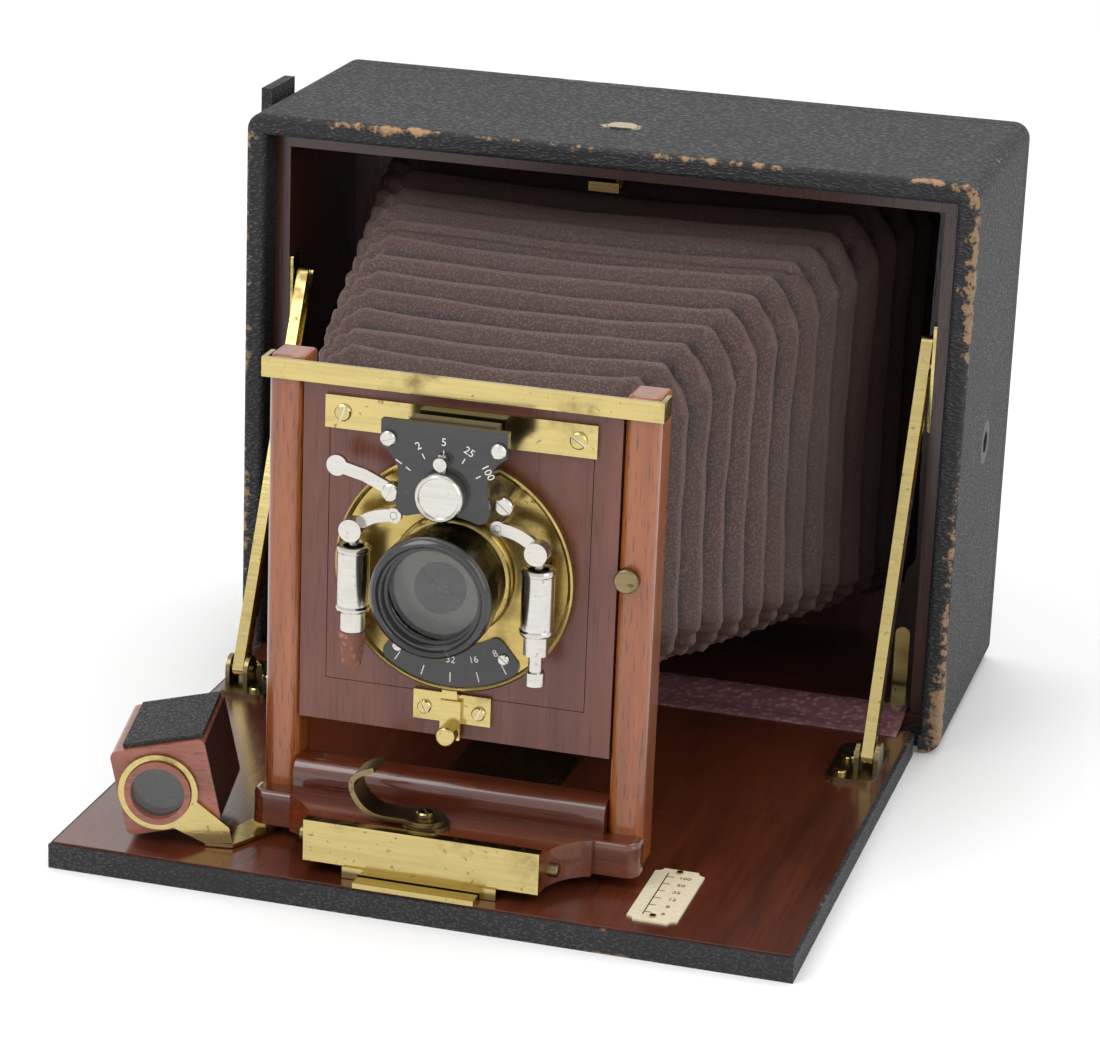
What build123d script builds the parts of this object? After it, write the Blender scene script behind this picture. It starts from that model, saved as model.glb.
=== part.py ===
from build123d import *
import os
from math import atan2, cos, degrees, hypot, radians, sin

# A folding view camera of about 1900 for 4 x 5 inch plates, opened for use.
# Millimetres. +X is to the right of someone who stands in front of the lens, +Y runs
# from the lens to the ground glass, +Z is up. The origin is the mouth of the tripod
# socket in the middle of the case's underside.

os.makedirs("parts", exist_ok=True)

# ---------------------------------------------------------------- driving dimensions
case_width = 172.0          # outside, over the leather
case_height = 135.4
case_depth = 70.8           # with the back door shut
wall = 5.0                  # wood and leather together
case_corner = 4.0
edge_round = 1.4
liner_thick = 3.6
liner_recess = 7.0          # how far the liner stands back from the front edge
floor_thick = 2.6
door_thick = 5.5
seam = 0.3                  # between the shell and the back door

bed_width = 160.5
bed_length = 128.6
bed_thick = 5.8
bed_leather = 0.8
fold_clear = 0.4            # round the folded bed
hinge_x = 50.0              # middle of each bed hinge
hinge_width = 22.0
hinge_barrel = 1.0
hinge_leaf = 0.8
leaf_reach = 9.0
pin_clear = 0.05            # running clearance round a pin

standard_out = 105.4        # from the case's front edge to the uprights' front
upright_wide = 7.5
upright_deep = 9.4
upright_top = 110.4
upright_round = 2.4         # long front edges
panel_wide = 67.8
panel_bottom = 31.8
panel_top = 105.4
panel_thick = 5.6
panel_set_back = 0.9        # behind the uprights' front
board_wide = 56.4
board_bottom = 41.2
board_top = 101.0
board_thick = 4.6
joint_clear = 0.2           # sliding wood on wood

lens_z = 68.6
disc_radius = 25.3
disc_thick = 2.4
barrel_radius = 11.8
ring_radius = 12.9
dial_front = 9.4            # dial plate's face in front of the disc

brace_x = 76.2              # outer face of each brace
brace_wide = 4.6
brace_deep = 2.6
brace_gauge = 0.7
brace_foot_y = -29.5        # from the case's front edge
brace_foot_z = 10.0
stud_y = 9.0
stud_z = 90.5
stud_radius = 1.1

bush_bore = 2.6             # core of a quarter-inch tripod thread
bush_radius = 5.2
bush_length = 7.0

finder_wide = 20.5
finder_tall = 19.0
finder_deep = 27.0
finder_yaw = 12.0           # turned towards the middle
finder_roll = 12.0          # leaning in its ring

# ---------------------------------------------------------------- shared places
front = -case_depth / 2
rear = case_depth / 2
shell_rear = rear - door_thick - seam
half_width = case_width / 2
inner_x = half_width - wall
inner_top = case_height - wall
liner_x = inner_x - liner_thick
liner_top = inner_top - liner_thick
floor_top = wall + floor_thick
hinge_y = front - hinge_barrel
hinge_z = hinge_barrel
bed_rear = hinge_y - fold_clear
bed_front = bed_rear - bed_length
floor_front = hinge_y - hinge_z + bed_thick + 2 * fold_clear
upright_face = front - standard_out
upright_rear = upright_face + upright_deep
upright_x = panel_wide / 2 + joint_clear + upright_wide / 2
panel_face = upright_face + panel_set_back
panel_rear = panel_face + panel_thick
disc_face = panel_face - disc_thick
dial_face = disc_face - dial_front


door_face = rear - door_thick
door_barrel = 1.2
door_pin = 0.55
door_pin_x = -half_width - 0.9


def facing(y):
    """A plane at y that looks towards the front, so that extrude runs to -Y."""
    return Plane.XZ.offset(-y)


def finish(part, name):
    """Label a finished sub-part and write its STEP file."""
    part.label = name
    export_step(part, "parts/" + name + ".step")
    print(name, len(part.solids()), round(part.volume, 2))


# ================================================================ the case
side_socket_z = 66.0
release_x = -2.0
release_y = front + 23.5
release_radius = 3.6
release_stem = 1.2

with BuildPart() as case_shell:
    with BuildSketch(facing(shell_rear)):
        with Locations((0, case_height / 2)):
            RectangleRounded(case_width, case_height, case_corner)
        with Locations((0, (wall + inner_top) / 2)):
            Rectangle(2 * inner_x, inner_top - wall, mode=Mode.SUBTRACT)
    extrude(amount=shell_rear - front)
    fillet(case_shell.edges().group_by(Axis.Y)[0], edge_round)
    # the bottom wall stands back, to let the bed fold up in front of it
    with BuildSketch(Plane.XY.offset(-1)):
        with Locations((0, (front - 1 + floor_front) / 2)):
            Rectangle(2 * inner_x, floor_front - front + 1)
    extrude(amount=wall + 2, mode=Mode.SUBTRACT)
    # rebates for the case leaves of the bed hinges
    with BuildSketch(Plane.XY):
        with Locations((-hinge_x, floor_front + leaf_reach / 2), (hinge_x, floor_front + leaf_reach / 2)):
            Rectangle(hinge_width + 2 * fold_clear, leaf_reach)
    extrude(amount=hinge_leaf + 0.3, mode=Mode.SUBTRACT)
    # tripod sockets, below and on the right, and the well of the release button
    with BuildSketch(Plane.XY):
        Circle(bush_radius)
    extrude(amount=wall, mode=Mode.SUBTRACT)
    with BuildSketch(Plane.YZ.offset(half_width)):
        with Locations((0, side_socket_z)):
            Circle(bush_radius)
    extrude(amount=-wall, mode=Mode.SUBTRACT)
    with BuildSketch(Plane.XY.offset(inner_top)):
        with Locations((release_x, release_y)):
            Circle(release_radius + joint_clear)
    extrude(amount=wall, mode=Mode.SUBTRACT)
    # room for the knuckles of the back door's hinges
    with BuildSketch(Plane.XY):
        with Locations((door_pin_x, door_face)):
            Circle(door_barrel + 0.15)
    extrude(amount=case_height, mode=Mode.SUBTRACT)
    # four boards: the base and the top run through, and the sides stand between them
    split(bisect_by=Plane.XY.offset(wall), keep=Keep.BOTH)
    split(bisect_by=Plane.XY.offset(inner_top), keep=Keep.BOTH)
finish(case_shell.part, "case_shell")

with BuildPart() as case_liner:
    with BuildSketch(facing(shell_rear)):
        with Locations((0, (floor_top + inner_top) / 2)):
            Rectangle(2 * inner_x, inner_top - floor_top)
        with Locations((0, (floor_top + liner_top) / 2)):
            Rectangle(2 * liner_x, liner_top - floor_top, mode=Mode.SUBTRACT)
    extrude(amount=shell_rear - front - liner_recess)
    with BuildSketch(Plane.YZ.offset(inner_x)):
        with Locations((0, side_socket_z)):
            Circle(bush_radius)
    extrude(amount=-(bush_length - wall), mode=Mode.SUBTRACT)
    with BuildSketch(Plane.XY.offset(liner_top)):
        with Locations((release_x, release_y)):
            Circle(release_stem + joint_clear)
    extrude(amount=liner_thick, mode=Mode.SUBTRACT)
finish(case_liner.part, "case_liner")

with BuildPart() as case_floor:
    with BuildSketch(Plane.XY.offset(wall)):
        with Locations((0, (floor_front + shell_rear) / 2)):
            Rectangle(2 * inner_x, shell_rear - floor_front)
        Circle(bush_radius, mode=Mode.SUBTRACT)
    extrude(amount=floor_thick)
finish(case_floor.part, "case_floor")

with BuildPart() as tripod_bushes:
    with BuildSketch(Plane.XY):
        Circle(bush_radius)
        Circle(bush_bore, mode=Mode.SUBTRACT)
    extrude(amount=bush_length)
    with BuildSketch(Plane.YZ.offset(half_width)):
        with Locations((0, side_socket_z)):
            Circle(bush_radius)
            Circle(bush_bore, mode=Mode.SUBTRACT)
    extrude(amount=-bush_length)
finish(tripod_bushes.part, "tripod_bushes")

# ---- the release for the folded bed: a button under the leather, a stem, a spring hook
hook_gauge = 0.8
hook_drop = 2.6             # below the roof of the case
hook_tip_y = front + liner_recess + 1.5

with BuildPart() as release_button:
    with BuildSketch(Plane.XY.offset(inner_top + 2.0)):
        with Locations((release_x, release_y)):
            Circle(release_radius)
    extrude(amount=wall - 1.6)
    fillet(release_button.edges().group_by(Axis.Z)[-1], 0.5)
finish(release_button.part, "release_button")

hook_root_y = release_y + 2.0 * release_radius
with BuildPart() as latch_hook:
    # the rod from the button down to the spring hook
    with BuildSketch(Plane.XY.offset(liner_top - hook_drop)):
        with Locations((release_x, release_y)):
            Circle(release_stem)
    extrude(amount=liner_thick + hook_drop + 2.0)
    with BuildSketch(Plane.YZ.offset(release_x - release_radius)):
        with BuildLine():
            Polyline(
                (hook_root_y, liner_top - hook_drop),
                (hook_tip_y, liner_top - hook_drop - 1.0),
                (hook_tip_y, liner_top - hook_drop + 1.2),
                (hook_tip_y + hook_gauge, liner_top - hook_drop + 1.2),
                (hook_tip_y + hook_gauge, liner_top - hook_drop + hook_gauge - 1.0),
                (hook_root_y, liner_top - hook_drop + hook_gauge),
                close=True,
            )
        make_face()
    extrude(amount=2 * release_radius)
finish(latch_hook.part, "latch_hook")

# ---- bellows frame, focusing frame with its ground glass, and the back door
rear_frame_y = front + 55.0
rear_frame_thick = 4.0
rear_open_x = 66.0
rear_open_low = 22.0
rear_open_high = 121.0
focus_gap = 0.3
focus_thick = 3.0
plate_wide = 127.0
plate_tall = 101.6
glass_thick = 1.5
screen_margin = 3.5

with BuildPart() as bellows_rear_frame:
    with BuildSketch(facing(rear_frame_y + rear_frame_thick)):
        with Locations((0, (floor_top + liner_top) / 2)):
            Rectangle(2 * liner_x, liner_top - floor_top)
        with Locations((0, (rear_open_low + rear_open_high) / 2)):
            Rectangle(2 * rear_open_x, rear_open_high - rear_open_low, mode=Mode.SUBTRACT)
    extrude(amount=rear_frame_thick)
finish(bellows_rear_frame.part, "bellows_rear_frame")

focus_y = rear_frame_y + rear_frame_thick + focus_gap
screen_z = (floor_top + liner_top) / 2
focus_tall = liner_top - floor_top - 2.0
with BuildPart() as focus_frame:
    with BuildSketch(facing(focus_y + focus_thick)):
        with Locations((0, screen_z)):
            Rectangle(2 * (liner_x - 1.0), focus_tall)
            Rectangle(plate_wide - 2 * screen_margin, plate_tall - 2 * screen_margin, mode=Mode.SUBTRACT)
    extrude(amount=focus_thick)
    with BuildSketch(facing(focus_y + glass_thick)):
        with Locations((0, screen_z)):
            Rectangle(plate_wide, plate_tall)
    extrude(amount=glass_thick, mode=Mode.SUBTRACT)
finish(focus_frame.part, "focus_frame")

with BuildPart() as ground_glass:
    with BuildSketch(facing(focus_y + glass_thick)):
        with Locations((0, screen_z)):
            Rectangle(plate_wide - 0.4, plate_tall - 0.4)
    extrude(amount=glass_thick - 0.1)
finish(ground_glass.part, "ground_glass")

spring_x = liner_x - 6.0
with BuildPart() as focus_springs:
    with BuildSketch(facing(focus_y + focus_thick + 0.4)):
        with Locations((-spring_x, screen_z), (spring_x, screen_z)):
            SlotOverall(60.0, 5.0, rotation=90)
    extrude(amount=0.4)
finish(focus_springs.part, "focus_springs")

door_recess = 2.0
with BuildPart() as back_door:
    with BuildSketch(facing(rear)):
        with Locations((0, case_height / 2)):
            RectangleRounded(case_width, case_height, case_corner)
    extrude(amount=door_thick)
    fillet(back_door.edges().group_by(Axis.Y)[-1], edge_round)
    # a shallow recess for the springs of the focusing frame
    with BuildSketch(facing(door_face + door_recess)):
        with Locations((0, screen_z)):
            Rectangle(2 * liner_x, focus_tall)
    extrude(amount=door_recess, mode=Mode.SUBTRACT)
    # room for the hinge knuckles at the left edge
    with BuildSketch(Plane.XY):
        with Locations((door_pin_x, door_face)):
            Circle(door_barrel + 0.15)
    extrude(amount=case_height, mode=Mode.SUBTRACT)
finish(back_door.part, "back_door")

door_hinge_z = (30.0, 105.0)
knuckle = 5.0
knuckle_gap = 0.15
door_leaf_deep = 5.0


def door_knuckles(low, high, leaf_y):
    """Knuckles and leaf of both door hinges, between two heights from each hinge's middle."""
    with BuildPart() as leaves:
        for z in door_hinge_z:
            with BuildSketch(Plane.XY.offset(z + low)):
                with Locations((door_pin_x, door_face)):
                    Circle(door_barrel)
                    Circle(door_pin + pin_clear, mode=Mode.SUBTRACT)
            extrude(amount=high - low)
            with BuildSketch(Plane.XY.offset(z + low)):
                with Locations((-half_width - 0.25, leaf_y)):
                    Rectangle(0.5, door_leaf_deep)
                with Locations((door_pin_x, door_face)):
                    Circle(door_barrel - 0.1, mode=Mode.SUBTRACT)
            extrude(amount=high - low)
    return leaves.part


door_leaves_fixed = door_knuckles(0.0, knuckle, shell_rear - 2.8)
finish(door_knuckles(-knuckle, -knuckle_gap, door_face + 2.9), "door_hinge_leaves")

# ---- the strap handle on the left, held by two brass keepers
strap_wide = 16.0
strap_thick = 2.6
strap_y = front + 28.0
strap_low = 20.0
strap_high = 120.0
strap_bow = 3.2
strap_x = -half_width - strap_thick / 2 - 1.0

with BuildPart() as handle_strap:
    with BuildSketch(facing(strap_y + strap_wide / 2)):
        with BuildLine():
            Line((strap_x, strap_low - 12.0), (strap_x, strap_low))
            Spline(
                (strap_x, strap_low),
                (strap_x - strap_bow * 0.6, strap_low + 22.0),
                (strap_x - strap_bow, (strap_low + strap_high) / 2),
                (strap_x - strap_bow * 0.6, strap_high - 22.0),
                (strap_x, strap_high),
                tangents=[(0, 1), (0, 1)],
            )
            Line((strap_x, strap_high), (strap_x, strap_high + 17.0))
        trace(line_width=strap_thick)
    extrude(amount=strap_wide)
finish(handle_strap.part, "handle_strap")

keeper_gauge = 0.7
keeper_tall = 9.0
keeper_room = 0.6
with BuildPart() as strap_keepers:
    for z in (strap_low - 5.0, strap_high + 5.0):
        with BuildSketch(Plane.XY.offset(z - keeper_tall / 2)):
            with Locations((strap_x, strap_y)):
                Rectangle(strap_thick + keeper_room + 2 * keeper_gauge, strap_wide + 1.0 + 2 * keeper_gauge)
                Rectangle(strap_thick + keeper_room, strap_wide + 1.0, mode=Mode.SUBTRACT)
            with Locations((-half_width + keeper_gauge, strap_y)):
                Rectangle(2 * keeper_gauge, strap_wide + 4.0, mode=Mode.SUBTRACT)
            with Locations((-half_width - keeper_gauge / 2, strap_y)):
                Rectangle(keeper_gauge, strap_wide + 10.0)
        extrude(amount=keeper_tall)
finish(strap_keepers.part, "strap_keepers")

# ================================================================ the bed
with BuildPart() as bed_board:
    with BuildSketch(Plane.XY.offset(bed_leather)):
        with Locations((0, (bed_front + bed_leather + bed_rear) / 2)):
            Rectangle(bed_width - 2 * bed_leather, bed_length - bed_leather)
    extrude(amount=bed_thick - bed_leather)
    with BuildSketch(Plane.XY):
        with Locations((-hinge_x, bed_rear - leaf_reach / 2), (hinge_x, bed_rear - leaf_reach / 2)):
            Rectangle(hinge_width + 2 * fold_clear, leaf_reach + 1.0)
    extrude(amount=hinge_leaf + 0.3, mode=Mode.SUBTRACT)
    with BuildSketch(Plane.XY):
        with Locations((-hinge_x, bed_rear), (hinge_x, bed_rear)):
            Rectangle(hinge_width + 2 * fold_clear, 2.0)
    extrude(amount=2 * hinge_barrel + 0.3, mode=Mode.SUBTRACT)
finish(bed_board.part, "bed_board")

with BuildPart() as bed_cover:
    with BuildSketch(Plane.XY):
        with Locations((0, (bed_front + bed_rear) / 2)):
            Rectangle(bed_width, bed_length)
    extrude(amount=bed_thick - 0.5)
    with BuildSketch(Plane.XY.offset(bed_leather)):
        with Locations((0, (bed_front + bed_leather + bed_rear + 1.0) / 2)):
            Rectangle(bed_width - 2 * bed_leather, bed_length - bed_leather + 1.0)
    extrude(amount=bed_thick, mode=Mode.SUBTRACT)
    with BuildSketch(Plane.XY):
        with Locations((-hinge_x, bed_rear - leaf_reach / 2), (hinge_x, bed_rear - leaf_reach / 2)):
            Rectangle(hinge_width + 2 * fold_clear, leaf_reach + 2.0)
    extrude(amount=bed_leather, mode=Mode.SUBTRACT)
finish(bed_cover.part, "bed_cover")

third = hinge_width / 3


def bed_hinge_leaves(spans, leaf_from, leaf_to):
    """Both hinges' leaves on one side of the pins: a plate and knuckles over the spans."""
    with BuildPart() as leaves:
        for x in (-hinge_x, hinge_x):
            for low, high in spans:
                with BuildSketch(Plane.YZ.offset(x + low)):
                    with Locations((hinge_y, hinge_z)):
                        Circle(hinge_barrel)
                    with Locations(((hinge_y + leaf_from) / 2, hinge_leaf / 2 + 0.1)):
                        Rectangle(abs(leaf_from - hinge_y), hinge_leaf)
                    with Locations((hinge_y, hinge_z)):
                        Circle(hinge_barrel / 2 + pin_clear, mode=Mode.SUBTRACT)
                extrude(amount=high - low)
            with BuildSketch(Plane.XY.offset(0.1)):
                with Locations((x, (leaf_from + leaf_to) / 2)):
                    Rectangle(hinge_width, abs(leaf_to - leaf_from))
            extrude(amount=hinge_leaf)
    return leaves.part


knuckle_room = hinge_barrel + 0.25
outer_spans = ((-hinge_width / 2, -third / 2 - 0.1), (third / 2 + 0.1, hinge_width / 2))
inner_spans = ((-third / 2 + 0.1, third / 2 - 0.1),)
bed_leaves_fixed = bed_hinge_leaves(outer_spans, hinge_y + knuckle_room, floor_front + leaf_reach - 0.3)
with BuildPart() as case_hinge_leaves:
    add(bed_leaves_fixed)
    add(door_leaves_fixed)
finish(case_hinge_leaves.part, "case_hinge_leaves")
bed_leaves_moving = bed_hinge_leaves(inner_spans, hinge_y - knuckle_room, bed_rear - leaf_reach + 0.3)
finish(bed_leaves_moving, "bed_hinge_leaves")

with BuildPart() as hinge_pins:
    for x in (-hinge_x, hinge_x):
        with BuildSketch(Plane.YZ.offset(x - hinge_width / 2)):
            with Locations((hinge_y, hinge_z)):
                Circle(hinge_barrel / 2)
        extrude(amount=hinge_width)
    for z in door_hinge_z:
        with BuildSketch(Plane.XY.offset(z - knuckle)):
            with Locations((door_pin_x, door_face)):
                Circle(door_pin)
        extrude(amount=2 * knuckle)
finish(hinge_pins.part, "hinge_pins")

# soft leather strip over the joint between the bed and the case floor
strip_thick = 0.6
strip_lap = 5.0
with BuildPart() as hinge_strip:
    with BuildSketch(Plane.YZ.offset(-liner_x + 0.4)):
        with BuildLine():
            Polyline(
                (bed_rear - strip_lap, bed_thick),
                (bed_rear - strip_lap, bed_thick + strip_thick),
                (bed_rear, bed_thick + strip_thick),
                (floor_front, floor_top + strip_thick),
                (floor_front + strip_lap, floor_top + strip_thick),
                (floor_front + strip_lap, floor_top),
                (floor_front, floor_top),
                (bed_rear, bed_thick),
                close=True,
            )
        make_face()
    extrude(amount=2 * (liner_x - 0.4))
finish(hinge_strip.part, "hinge_strip")

# track: the brass plate that the standard's clamp grips and slides along
track_wide = 26.0
track_thick = 1.1
track_front = bed_front + 0.5
track_rear = bed_rear - strip_lap - 0.6
with BuildPart() as track_plate:
    with BuildSketch(Plane.XY.offset(bed_thick)):
        with Locations((0, (track_front + track_rear) / 2)):
            Rectangle(track_wide, track_rear - track_front)
    extrude(amount=track_thick)
finish(track_plate.part, "track_plate")

card_x = 49.0
card_y = front - 111.0
card_wide = 10.6
card_long = 26.8
card_thick = 0.4
card_notch = 1.6
with BuildPart() as scale_card:
    with BuildSketch(Plane.XY.offset(bed_thick)):
        with Locations((card_x, card_y)):
            Rectangle(card_wide, card_long)
            with GridLocations(card_wide, card_long, 2, 2):
                Circle(card_notch, mode=Mode.SUBTRACT)
    extrude(amount=card_thick)
finish(scale_card.part, "scale_card")

# ---- braces: each turns on a bracket on the bed, and slides over a stud on the case wall
foot_y = front + brace_foot_y
foot_z = brace_foot_z
wall_stud_y = front + stud_y
wall_stud_z = stud_z
brace_reach = hypot(wall_stud_y - foot_y, wall_stud_z - foot_z)
brace_angle = degrees(atan2(wall_stud_z - foot_z, wall_stud_y - foot_y))
brace_over = 5.0
slot_length = 34.0
slot_wide = 2 * stud_radius + 0.8
brace_pin = 0.9
ear_gauge = 1.0
ear_gap = 0.4
ear_radius = 3.2
bracket_front = -7.8        # plate ends, from the foot's pin
bracket_rear = 14.0


def brace_plane(side, x):
    """Local x runs up the brace from its foot pin, in the plane of the case's side wall."""
    return Plane(
        origin=(side * x, foot_y, foot_z),
        x_dir=(0, cos(radians(brace_angle)), sin(radians(brace_angle))),
        z_dir=(-side, 0, 0),
    )


def make_brace(side):
    """A U channel with its web towards the case wall and a slot for the stud."""
    with BuildPart() as brace:
        with BuildSketch(brace_plane(side, brace_x)):
            with Locations(((brace_reach + brace_over) / 2, 0)):
                SlotOverall(brace_reach + brace_over + brace_wide, brace_wide)
        extrude(amount=brace_deep)
        with BuildSketch(brace_plane(side, brace_x - brace_gauge)):
            with Locations(((brace_reach + brace_over) / 2, 0)):
                Rectangle(brace_reach + brace_over + 2 * brace_wide, brace_wide - 2 * brace_gauge)
        extrude(amount=brace_deep, mode=Mode.SUBTRACT)
        with BuildSketch(brace_plane(side, brace_x + 1.0)):
            with Locations((brace_reach + slot_wide / 2 + 0.3 - slot_length / 2, 0)):
                SlotOverall(slot_length, slot_wide)
            Circle(brace_pin + pin_clear)
        extrude(amount=brace_deep + 2.0, mode=Mode.SUBTRACT)
    return brace.part


def make_bracket(side):
    """The plate on the bed with two ears that hold the brace's foot pin."""
    ear_inner = brace_x - brace_deep - ear_gap
    ear_outer = brace_x + ear_gap + ear_gauge
    with BuildPart() as bracket:
        with BuildSketch(Plane.XY.offset(bed_thick)):
            with Locations((side * (ear_outer + 66.5) / 2, foot_y + (bracket_front + bracket_rear) / 2)):
                RectangleRounded(ear_outer - 66.5, bracket_rear - bracket_front, 2.4)
        extrude(amount=1.0)
        for x in (ear_inner - ear_gauge, ear_outer - ear_gauge):
            with BuildSketch(Plane.YZ.offset(side * x if side > 0 else -x - ear_gauge)):
                with Locations((foot_y, foot_z)):
                    Circle(ear_radius)
                with Locations((foot_y, (foot_z + bed_thick) / 2)):
                    Rectangle(2 * ear_radius, foot_z - bed_thick)
                with Locations((foot_y, foot_z)):
                    Circle(brace_pin, mode=Mode.SUBTRACT)
            extrude(amount=ear_gauge)
    return bracket.part


def make_bracket_pin(side):
    """The foot pin, and the screws that hold the plate."""
    pin_low = brace_x - brace_deep - ear_gap - ear_gauge - 0.5
    pin_high = brace_x + ear_gap + ear_gauge
    with BuildPart() as pin:
        with BuildSketch(Plane.YZ.offset(side * pin_low if side > 0 else -pin_high)):
            with Locations((foot_y, foot_z)):
                Circle(brace_pin)
        extrude(amount=pin_high - pin_low)
        with BuildSketch(Plane.XY.offset(bed_thick + 1.0)):
            with Locations(
                (side * 69.5, foot_y - 4.8), (side * 69.5, foot_y + 4.0), (side * 74.5, foot_y + 10.4)
            ):
                Circle(1.5)
        extrude(amount=0.6)
    return pin.part


def make_stud(side):
    """The stud plate on the case liner, with the headed stud in the brace's slot."""
    with BuildPart() as stud:
        with BuildSketch(Plane.YZ.offset(side * (liner_x - 0.8) if side > 0 else -liner_x)):
            with Locations((wall_stud_y + 2.2, wall_stud_z - 3.0)):
                RectangleRounded(7.4, 26.0, 1.0)
        extrude(amount=0.8)
        root = liner_x - 0.8
        tip = brace_x - brace_gauge - 0.9
        with BuildSketch(Plane.YZ.offset(side * tip if side > 0 else -root)):
            with Locations((wall_stud_y, wall_stud_z)):
                Circle(stud_radius)
        extrude(amount=root - tip)
    return stud.part


finish(make_brace(-1), "brace_left")
finish(make_brace(1), "brace_right")

with BuildPart() as brace_brackets:
    add(make_bracket(-1))
    add(make_bracket(1))
finish(brace_brackets.part, "brace_brackets")

with BuildPart() as bed_screws:
    add(make_bracket_pin(-1))
    add(make_bracket_pin(1))
    # the two round-headed pins of the distance card
    with BuildSketch(Plane.XY.offset(bed_thick + card_thick)):
        with Locations((card_x, card_y - card_long * 0.41), (card_x, card_y + card_long * 0.44)):
            Circle(0.7)
    extrude(amount=0.4)
finish(bed_screws.part, "bed_screws")

spring_stands = front + 17.0
spring_in = 4.4
with BuildPart() as wall_fittings:
    add(make_stud(-1))
    add(make_stud(1))
    # a flat spring that stands on the floor by the right wall
    with BuildSketch(facing(spring_stands)):
        with Locations((liner_x - spring_in, floor_top + 8.5)):
            SlotOverall(17.0, 3.4, rotation=90)
        with Locations((liner_x - spring_in, floor_top + 3.0)):
            Rectangle(3.4, 6.0)
    extrude(amount=0.8)
finish(wall_fittings.part, "wall_fittings")

# ================================================================ the bellows
bellows_wall = 1.6
bellows_front_x = 31.0
bellows_front_low = 39.0
bellows_front_high = 104.4
tip_length = 9.0
neck_x = 39.5
neck_low = 43.5
neck_high = 107.5
bellows_rear_x = 69.0
bellows_rear_low = 19.0
bellows_rear_high = 123.8
bellows_split_y = front - 12.0

bellows_tip_y = panel_rear
neck_y = bellows_tip_y + tip_length
bellows_back_y = rear_frame_y
split_share = (bellows_split_y - neck_y) / (bellows_back_y - neck_y)
split_x = neck_x + split_share * (bellows_rear_x - neck_x)
split_low = neck_low + split_share * (bellows_rear_low - neck_low)
split_high = neck_high + split_share * (bellows_rear_high - neck_high)


def bellows_stage(y_a, half_a, low_a, high_a, y_b, half_b, low_b, high_b):
    """A tapered square tube between two planes: the outer shape of a stretch of bellows."""
    with BuildPart() as stage:
        for inset, mode in ((0.0, Mode.ADD), (bellows_wall, Mode.SUBTRACT)):
            with BuildSketch(facing(y_a)) as sketch_a:
                with Locations((0, (low_a + high_a) / 2)):
                    Rectangle(2 * (half_a - inset), high_a - low_a - 2 * inset)
            with BuildSketch(facing(y_b)) as sketch_b:
                with Locations((0, (low_b + high_b) / 2)):
                    Rectangle(2 * (half_b - inset), high_b - low_b - 2 * inset)
            loft([sketch_a.sketch, sketch_b.sketch], mode=mode)
    return stage.part


tip_end = (bellows_tip_y, bellows_front_x, bellows_front_low, bellows_front_high)
neck_end = (neck_y, neck_x, neck_low, neck_high)
split_end = (bellows_split_y, split_x, split_low, split_high)
back_end = (bellows_back_y, bellows_rear_x, bellows_rear_low, bellows_rear_high)
finish(bellows_stage(*tip_end, *neck_end), "bellows_tip")
finish(bellows_stage(*neck_end, *split_end), "bellows_middle")
finish(bellows_stage(*split_end, *back_end), "bellows_rear")

# ================================================================ the front standard
plank_x = 42.4
plank_front = upright_face - 5.1
plank_low = 8.4
plank_top = 15.8
rail_top = 22.6
rail_round = 3.4
rail_front = upright_face - 1.8
rail_rear = upright_face + 7.4
block_x = 33.0
block_nose_x = 25.4
block_front = plank_front - 13.5
block_top = 16.4
plate_gauge = 1.0
side_screw_radius = 1.5
side_screw_root = 22.0
side_screw_tip = block_nose_x + 2.4
side_screw_y = block_front + 5.0
side_screw_z = (plank_low + block_top) / 2 - 0.6
upright_inner = panel_wide / 2 + joint_clear
upright_outer = upright_inner + upright_wide
upright_y = (upright_face + upright_rear) / 2

with BuildPart() as base_plank:
    with BuildSketch(Plane.XY.offset(plank_low)):
        with Locations((0, (plank_front + upright_rear) / 2)):
            RectangleRounded(2 * plank_x, upright_rear - plank_front, 2.8)
        with Locations((-plank_x, upright_y), (plank_x, upright_y)):
            Rectangle(2 * (plank_x - upright_inner), upright_deep, mode=Mode.SUBTRACT)
    extrude(amount=plank_top - plank_low)
    fillet(base_plank.edges().filter_by(Axis.X).group_by(Axis.Y)[0].sort_by(Axis.Z)[-1], 1.2)
    # the rounded rail between the uprights
    with BuildSketch(Plane.YZ.offset(-upright_inner)) as rail_section:
        with Locations(((rail_front + rail_rear) / 2, (plank_top + rail_top) / 2)):
            Rectangle(rail_rear - rail_front, rail_top - plank_top)
        fillet(rail_section.vertices().group_by(Axis.Y)[-1], rail_round)
    extrude(amount=2 * upright_inner)
finish(base_plank.part, "base_plank")

with BuildPart() as base_block:
    with BuildSketch(Plane.XY.offset(plank_low)):
        with BuildLine():
            Line((-block_x, plank_front), (block_x, plank_front))
            Line((block_x, plank_front), (block_x, plank_front - 1.6))
            ThreePointArc(
                (block_x, plank_front - 1.6),
                (block_nose_x + 2.6, plank_front - 5.6),
                (block_nose_x, block_front),
            )
            Line((block_nose_x, block_front), (-block_nose_x, block_front))
            ThreePointArc(
                (-block_nose_x, block_front),
                (-block_nose_x - 2.6, plank_front - 5.6),
                (-block_x, plank_front - 1.6),
            )
            Line((-block_x, plank_front - 1.6), (-block_x, plank_front))
        make_face()
    extrude(amount=block_top - plank_low)
    # holes for the screw in each concave side
    for x in (-side_screw_tip, side_screw_root):
        with BuildSketch(Plane.YZ.offset(x)):
            with Locations((side_screw_y, side_screw_z)):
                Circle(side_screw_radius)
        extrude(amount=side_screw_tip - side_screw_root, mode=Mode.SUBTRACT)
finish(base_block.part, "base_block")

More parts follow.
